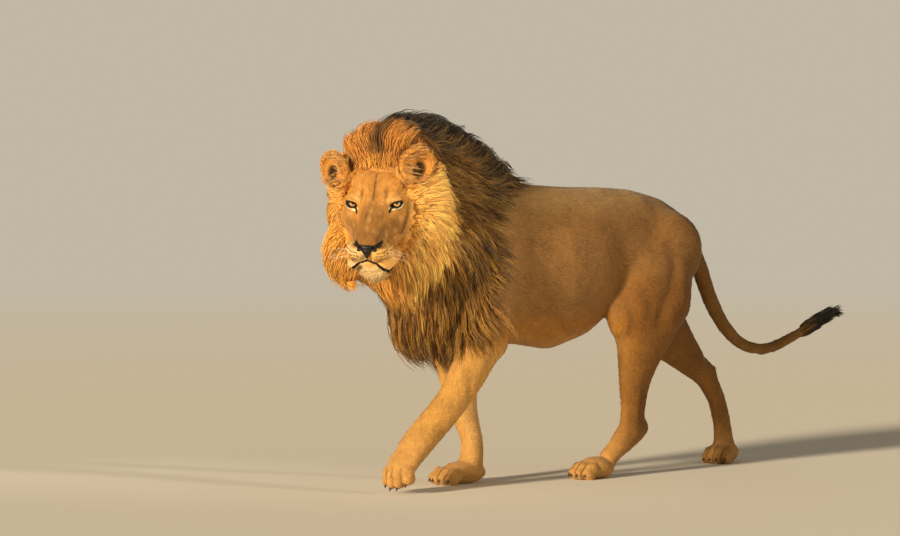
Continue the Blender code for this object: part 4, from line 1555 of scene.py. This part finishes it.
# The kinds of hair. Functions take places in the room and the same in the head's frame.
# "clear" is how far the tips lie over the skin, and "spread" and "clump" shape a lock.
maneHair = {
    "locks": 3200, "strands": 7, "steps": 5, "width": 0.0036, "spread": 0.008, "clump": 0.75,
    "wave": 0.006, "shortest": 0.65, "rise": 34, "droop": 0.35, "clear": 0.020, "tone": 0.22,
    "where": lambda p, h: maneShare(p) * (1 - ruffShare(h)) * (1 - faceShare(h))
    * (1 - earShare(p)),
    "length": lambda p, h: 0.125 + 0.015 * crestShare(p)
    + 0.05 * ramp(inBody(p)[:, 2], 0.75, 0.60),
    "riseAt": lambda p, h: 1 + 0.25 * crestShare(p),
    "dye": maneDye,
}
ruffHair = {
    "locks": 2150, "strands": 7, "steps": 5, "width": 0.0029, "spread": 0.007, "clump": 0.65,
    "wave": 0.0025, "shortest": 0.7, "rise": 30, "droop": 0.25, "clear": 0.016, "tone": 0.14,
    "where": lambda p, h: ruffShare(h) * (1 - faceShare(h)) * (1 - earShare(p))
    * ramp(h[:, 1], -0.24, -0.18) * awayFromMouth(h),
    "length": lambda p, h: (0.078 + 0.045 * ramp(h[:, 2], -0.12, -0.24)
                            + 0.02 * ramp(h[:, 2], 0.05, 0.15))
    * (1 - 0.60 * ramp(faceFar(h), 1.34, 1.0)),
    "riseAt": lambda p, h: 1 - 0.6 * ramp(faceFar(h), 1.25, 1.0),
    "dye": ruffDye,
}
tuftHair = {
    "locks": 210, "strands": 9, "steps": 5, "width": 0.0034, "spread": 0.004, "clump": 0.3,
    "wave": 0.002, "shortest": 0.7, "rise": 16, "droop": 0.02, "clear": 0.004, "tone": 0.15,
    "where": lambda p, h: tuftShare(p),
    "length": lambda p, h: np.clip(1.905 - (p - shiftArray)[:, 0], 0.035, 0.085),
    "dye": plainDye,
}
bodyFur = {
    "locks": 11500, "strands": 2, "steps": 2, "width": 0.0036, "spread": 0.0035, "clump": 0.2,
    "wave": 0.0005, "shortest": 0.7, "rise": 4, "droop": 0.0, "clear": 0.0006, "tone": 0.10,
    "flat": 0.25,
    "where": lambda p, h: (1 - maneShare(p)) * (1 - tuftShare(p)) * (1 - faceShare(h))
    * (1 - ruffShare(h)) * (1 - earShare(p)) * (1 - 0.7 * pawShare(p)) * (1 - pressedOnFloor(p)),
    "length": lambda p, h: 0.020 - 0.007 * np.maximum(legShare(p), pawShare(p)),
    "riseAt": lambda p, h: 1 - 0.6 * legShare(p),
    "dye": furDye,
}
faceFur = {
    "locks": 8000, "strands": 1, "steps": 2, "width": 0.0022, "spread": 0.001, "clump": 0.1,
    "wave": 0.0005, "shortest": 0.8, "rise": 9, "droop": 0.0, "clear": 0.0009, "tone": 0.28,
    "flat": 0.25,
    "where": lambda p, h: ramp(faceFar(h), 1.20, 1.10) * (1 - earShare(p))
    * ramp(bareSkin(h), 0.6, 0.3) * (1 + 4 * hairline(h)),
    "length": lambda p, h: 0.006 + 0.016 * ramp(faceFar(h), 0.70, 1.05) + 0.016 * hairline(h),
    "riseAt": lambda p, h: 1 + 1.5 * hairline(h),
    "dye": furDye,
}
innerEarHair = {
    "locks": 120, "strands": 4, "steps": 4, "width": 0.0016, "spread": 0.003, "clump": 0.6,
    "wave": 0.002, "shortest": 0.6, "rise": 40, "droop": 0.0, "clear": 0.004, "tone": 0.10,
    "where": lambda p, h: innerEarShare(p), "length": lambda p, h: 0.040 + 0 * p[:, 0],
    "lie": lieInEar, "dye": paleDye,
}
earRimHair = {
    "locks": 1100, "strands": 2, "steps": 3, "width": 0.0016, "spread": 0.002, "clump": 0.3,
    "wave": 0.001, "shortest": 0.6, "rise": 34, "droop": 0.0, "clear": 0.003, "tone": 0.08,
    "where": lambda p, h: earRimShare(p), "length": lambda p, h: 0.009 + 0 * p[:, 0],
    "dye": plainDye,
}
chinFur = {
    "locks": 520, "strands": 4, "steps": 3, "width": 0.0018, "spread": 0.003, "clump": 0.4,
    "wave": 0.001, "shortest": 0.6, "rise": 26, "droop": 0.15, "clear": 0.003, "tone": 0.08,
    "where": lambda p, h: onChin(h),
    "length": lambda p, h: 0.014 + 0.018 * ramp(h[:, 2], -0.195, -0.225),
    "dye": furDye,
}
growLocks("innerEarHair", innerEarHair)
growLocks("chinFur", chinFur)
growLocks("earRimHair", earRimHair)
growLocks("maneHair", maneHair)
growLocks("ruffHair", ruffHair)
growLocks("tuftHair", tuftHair)
growLocks("bodyFur", bodyFur)
growLocks("faceFur", faceFur)
print("coat grown:", sum(hairTriangles.values()), "triangles")


def eyeball(side):
    bm = bmesh.new()
    bmesh.ops.create_uvsphere(bm, u_segments=48, v_segments=36, radius=eyeShape["radius"])
    # the clear cornea stands out in front of the iris
    for vert in bm.verts:
        away = math.acos(max(-1.0, min(1.0, vert.co.z / eyeShape["radius"])))
        vert.co *= 1 + 0.055 * math.exp(-(away / math.radians(26)) ** 4)
    turn = Vector(eyeShape["gaze"]).to_track_quat("Z", "Y").to_matrix().to_4x4()
    place = Matrix.Translation(eyePlace(side).translation) @ turn
    bmesh.ops.transform(bm, matrix=place, verts=bm.verts)
    return meshObject(bm, "eyeball" + ("Left" if side > 0 else "Right"))


irisBands = {0.19: "080605", 0.22: "AC7A3A", 0.34: "D4AC68", 0.50: "AC7C3C", 0.58: "2E1A0C",
             0.64: "120A06"}


def eyeMaterial():
    # glass eye: amber iris with a dark edge under a clear wet dome
    material, tree, shader = newMaterial("amberEye", {
        "Roughness": 0.25, "Coat Weight": 1.0, "Coat Roughness": 0.02, "IOR": 1.38})
    away = addNode(tree, "Attribute", {"attribute_name": "away"}).outputs["Fac"]
    bands = addNode(tree, "ValToRGB", None, {"Fac": away})
    stops = bands.color_ramp.elements
    stops[0].color = rgba("080605")
    stops[1].color = rgba("1A0F0A")
    for place, code in irisBands.items():
        stops.new(place).color = rgba(code)
    tree.links.new(bands.outputs["Color"], shader.inputs["Base Color"])
    return material


amber = eyeMaterial()
for side, node in ((1, "eye_left"), (-1, "eye_right")):
    ball = eyeball(side)
    own = unit(pointsOf(ball) - np.array(eyePlace(side).translation))
    away = np.degrees(np.arccos(np.clip(own @ unit(np.array(eyeShape["gaze"])), -1, 1))) / 60
    layer = ball.data.attributes.new("away", "FLOAT", "POINT")
    layer.data.foreach_set("value", away.astype(np.float32))
    finishPiece(ball, amber)
    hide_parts(node)


noseShape = {
    "middle": [
        ((0, 0.187, -0.084), (0.028, 0.019, 0.0130), (0, 0, 0)),
        ((0, 0.191, -0.096), (0.017, 0.017, 0.018), (0, 0, 0)),
        ((0, 0.189, -0.110), (0.007, 0.013, 0.014), (0, 0, 0)),
    ],
    "wings": [
        ((0.026, 0.181, -0.081), (0.020, 0.017, 0.0062), (0, -4, 22)),
        ((0.024, 0.184, -0.090), (0.015, 0.017, 0.0075), (0, 34, 14)),
    ],
    "nostril": [((0.026, 0.200, -0.0835), (0.012, 0.013, 0.0040), (0, 8, 24))],
    "cell": 0.0015,
    "passes": 3,
}


def nosePad():
    pieces = [headLump(*each) for each in noseShape["middle"]]
    for side in (1, -1):
        pieces += mirrored(noseShape["wings"], side)
    pad = fuse("nosePad", pieces, noseShape["cell"])
    soften(pad, noseShape["passes"])
    for side in (1, -1):
        boolean(pad, mirrored(noseShape["nostril"], side)[0], "DIFFERENCE", "MANIFOLD")
    return pad


def noseMaterial():
    # moist pebbled nose leather, nearly black, cells 1.5 mm across
    material, tree, shader = newMaterial("noseLeather", {
        "Base Color": rgba("140D0B"), "Roughness": 0.48, "Specular IOR Level": 0.4})
    place = addNode(tree, "TexCoord").outputs["Object"]
    cells = addNode(tree, "TexVoronoi", None, {"Vector": place, "Scale": 620.0})
    addBump(tree, shader, cells.outputs["Distance"], 0.4, 0.001)
    return material


whiskerShape = {
    "length": (0.050, 0.085),
    "width": 0.0010,
    "rings": 8,
    "droop": 0.020,
    "firstSpot": 3,      # in each row, from the nose
    "missing": 0.45,     # the share of spots that hold none
}
spotShape = {
    "length": 0.0042,
    "width": 0.0038,
    "lift": 0.0030,
    "rings": 4,
    "flat": 0.3,
}


def lipPoint(side, spot):
    # where a spot of a whisker row lies on the skin, and the way the skin faces there
    start = headPlace @ Vector((side * spot[0], 0.30, spot[1]))
    place, facing = skinTree.ray_cast(start, -headForward)[:2]
    return np.array(place), np.array(facing)


def whiskers():
    # stiff pale hairs from the spots of the lip, sweeping out and back
    lines = []
    share = np.linspace(0, 1, whiskerShape["rings"])[:, None]
    for side in (1, -1):
        for number, spot in enumerate(spotPlaces):
            if (number % spotsPerRow < whiskerShape["firstSpot"]
                    or rng.uniform() < whiskerShape["missing"]):
                continue
            length = rng.uniform(*whiskerShape["length"])
            out = (side * 0.85, 0.10 + rng.uniform(-0.15, 0.1), rng.uniform(-0.45, 0.05))
            sink = -whiskerShape["droop"] * rng.uniform(0.3, 1.0)
            local = unit(np.array(out)) * share * length
            local += np.array((side * 0.01, -0.030, sink)) * share ** 2
            lines.append(lipPoint(side, spot)[0] + local @ headArray.T)
    return np.stack(lines)


def whiskerSpots():
    # the dark roots in rows along the lip, as short flat hairs
    lines, facings = [], []
    share = np.linspace(-0.5, 0.5, spotShape["rings"])[:, None]
    for side in (1, -1):
        for spot in spotPlaces:
            place, facing = lipPoint(side, spot)
            away = unit(np.array((side * 0.8, -0.5, -0.1)) @ headArray.T)
            away = unit(away - facing * (away @ facing))
            lines.append(place + facing * spotShape["lift"] + away * share * spotShape["length"])
            facings.append(facing)
    return np.stack(lines), np.stack(facings)


lines, facings = whiskerSpots()
along = unit(np.gradient(lines, axis=1))
dark = np.tile(tint["black"], (len(lines), 1))
hairMesh("whiskerSpots", lines, unit(np.cross(along, facings[:, None])),
         np.repeat(facings[:, None], lines.shape[1], 1), np.full(len(lines), spotShape["width"]),
         (dark, dark), spotShape["flat"])


lines = heldInside(whiskers())
along = unit(np.gradient(lines, axis=1))
side = unit(np.cross(along, np.array(headForward)))
white = np.tile(linear("F4EBD8"), (len(lines), 1))
hairMesh("whiskers", lines, side, np.cross(side, along),
         np.full(len(lines), whiskerShape["width"]), (white, white), 0)


# claws, drawn in so that only their tips show
clawShape = {"length": 0.013, "thick": 0.0046, "tip": 0.0003, "sides": 10, "rings": 7, "bend": 70}


def claw(place):
    bm = bmesh.new()
    loops = []
    for share in np.linspace(0, 1, clawShape["rings"]):
        made = bmesh.ops.create_circle(bm, segments=clawShape["sides"], radius=1.0)["verts"]
        bend = share * math.radians(clawShape["bend"])
        centre = Vector((-math.sin(bend), 0, math.cos(bend) - 1)) * clawShape["length"] * 0.8
        across = Vector((math.sin(bend), 0, -math.cos(bend)))
        thick = clawShape["thick"] * (1 - share) ** 0.7 + clawShape["tip"]
        for vert in made:
            vert.co = centre + (across * vert.co.x * thick * 1.3
                                + Vector((0, vert.co.y * thick * 0.6, 0)))
        loops.append([edge for edge in bm.edges if edge.verts[0] in made])
    return closedTube(bm, loops, place, "claw")


def hornMaterial():
    # horn: grown in layers, brown with a fine mottled grain, and waxy
    material, tree, shader = newMaterial("clawHorn", {
        "Roughness": 0.35, "Specular IOR Level": 0.5, "IOR": 1.54})
    place = addNode(tree, "TexCoord").outputs["Object"]
    grain = addNode(tree, "TexNoise", None, {"Vector": place, "Scale": 260.0}).outputs["Fac"]
    tone = addNode(tree, "ValToRGB", None, {"Fac": grain})
    tone.color_ramp.elements[0].color = rgba("2B2018")
    tone.color_ramp.elements[1].color = rgba("6B5240")
    tree.links.new(tone.outputs["Color"], shader.inputs["Base Color"])
    return material


def clawPlace(paw, off, front, across):
    at = Matrix.Translation((front + 0.007, across, 0.021 + paw["drop"]))
    return paw["place"] @ at @ Matrix.Rotation(math.radians(off * toeShape["spread"]), 4, "Z")


claws = joined("claws", [claw(clawPlace(paw, *toe)) for paw in paws.values() for toe in toes(paw)])
finishPiece(claws, hornMaterial())

pad = nosePad()
finishPiece(pad, noseMaterial())
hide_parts("nose")

finishPiece(skin, shortFur())
fleshNodes = [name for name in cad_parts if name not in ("eye_left", "eye_right", "nose")]
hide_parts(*fleshNodes)


def stageMaterial():
    # plain matt paper that fades out far from the lion, so that no edge shows
    material, tree, shader = newMaterial("palePaper", {
        "Base Color": rgba("EEE8DC"), "Roughness": 0.9})
    place = addNode(tree, "TexCoord").outputs["Object"]
    away = addNode(tree, "VectorMath", {"operation": "LENGTH"}, {0: place}).outputs["Value"]
    fade = addNode(tree, "MapRange", {"interpolation_type": "SMOOTHSTEP"},
                   {"Value": away, "From Min": 3.0, "From Max": 16.0}).outputs["Result"]
    clear = addNode(tree, "BsdfTransparent").outputs[0]
    both = addNode(tree, "MixShader", None, {0: fade, 1: shader.outputs[0], 2: clear})
    tree.links.new(both.outputs[0], tree.nodes["Material Output"].inputs["Surface"])
    return material


def makeFloor():
    bm = bmesh.new()
    bmesh.ops.create_circle(bm, cap_ends=True, segments=64, radius=30)
    floor = meshObject(bm, "floor")
    floor.data.materials.append(stageMaterial())


studio = {"low": 0.60, "high": 0.22}      # strength near the floor and overhead


def makeWorld():
    # an even studio: bright low down, where it meets the floor, and softer overhead
    world = bpy.data.worlds.new("studio")
    bpy.context.scene.world = world
    world.use_nodes = True
    tree = world.node_tree
    place = addNode(tree, "TexCoord").outputs["Generated"]
    height = addNode(tree, "SeparateXYZ", None, {0: place}).outputs["Z"]
    level = addNode(tree, "MapRange", None, {"Value": height, "From Min": 0.03, "From Max": 0.30,
                                             "To Min": studio["low"], "To Max": studio["high"]})
    background = tree.nodes["Background"]
    background.inputs["Color"].default_value = rgba("F2E6CF")
    tree.links.new(level.outputs[0], background.inputs["Strength"])


lights = {
    # kind, place, size (degrees for a sun or a spot), strength, colour, what it is turned to
    "key": ("SUN", (-13.2, -2.9, 4.6), 7.0, 5.0, (1.0, 0.83, 0.58), (0, 0, 0.65)),
    "fill": ("AREA", (1.5, -7.5, 3.0), 5.0, 30, (1.0, 0.86, 0.64), (0, 0, 0.65)),
    "collar": ("SPOT", (3.0, -8.0, 3.0), 10.0, 3000, (1.0, 0.86, 0.62), (-0.84, -0.15, 0.90)),
}


def makeLight(name, kind, place, size, power, colour, aim):
    data = bpy.data.lights.new(name, kind)
    if kind == "SUN":
        data.angle = math.radians(size)
    elif kind == "SPOT":
        data.spot_size = math.radians(size)
        data.spot_blend = 0.8
        data.shadow_soft_size = 0.6
    else:
        data.size = size
    data.energy = power
    data.color = colour
    lamp = linked(name, data)
    lamp.location = Vector(place)
    lamp.rotation_euler = (Vector(aim) - lamp.location).to_track_quat("-Z", "Y").to_euler()


cameraView = {
    "azimuth": -38.0,
    "elevation": 2.6,
    "far": 15.0,
    "lens": 172.8,
    "aim": (0.0, 0.0, 0.7625),
}


def makeCamera():
    azimuth, elevation = (math.radians(cameraView[key]) for key in ("azimuth", "elevation"))
    level = math.cos(elevation)
    back = Vector((math.sin(azimuth) * level, -math.cos(azimuth) * level, math.sin(elevation)))
    data = bpy.data.cameras.new("camera")
    data.sensor_width = 36
    data.lens = cameraView["lens"]
    data.clip_end = 200
    camera = linked("camera", data)
    camera.location = shift + Vector(cameraView["aim"]) + back * cameraView["far"]
    camera.rotation_euler = (-back).to_track_quat("-Z", "Y").to_euler()
    bpy.context.scene.camera = camera


makeFloor()
for name, settings in lights.items():
    makeLight(name, *settings)
makeWorld()
bpy.context.scene.view_settings.view_transform = "Standard"
makeCamera()

print("solids", [round(v, 3) for corner in solidBox for v in corner])
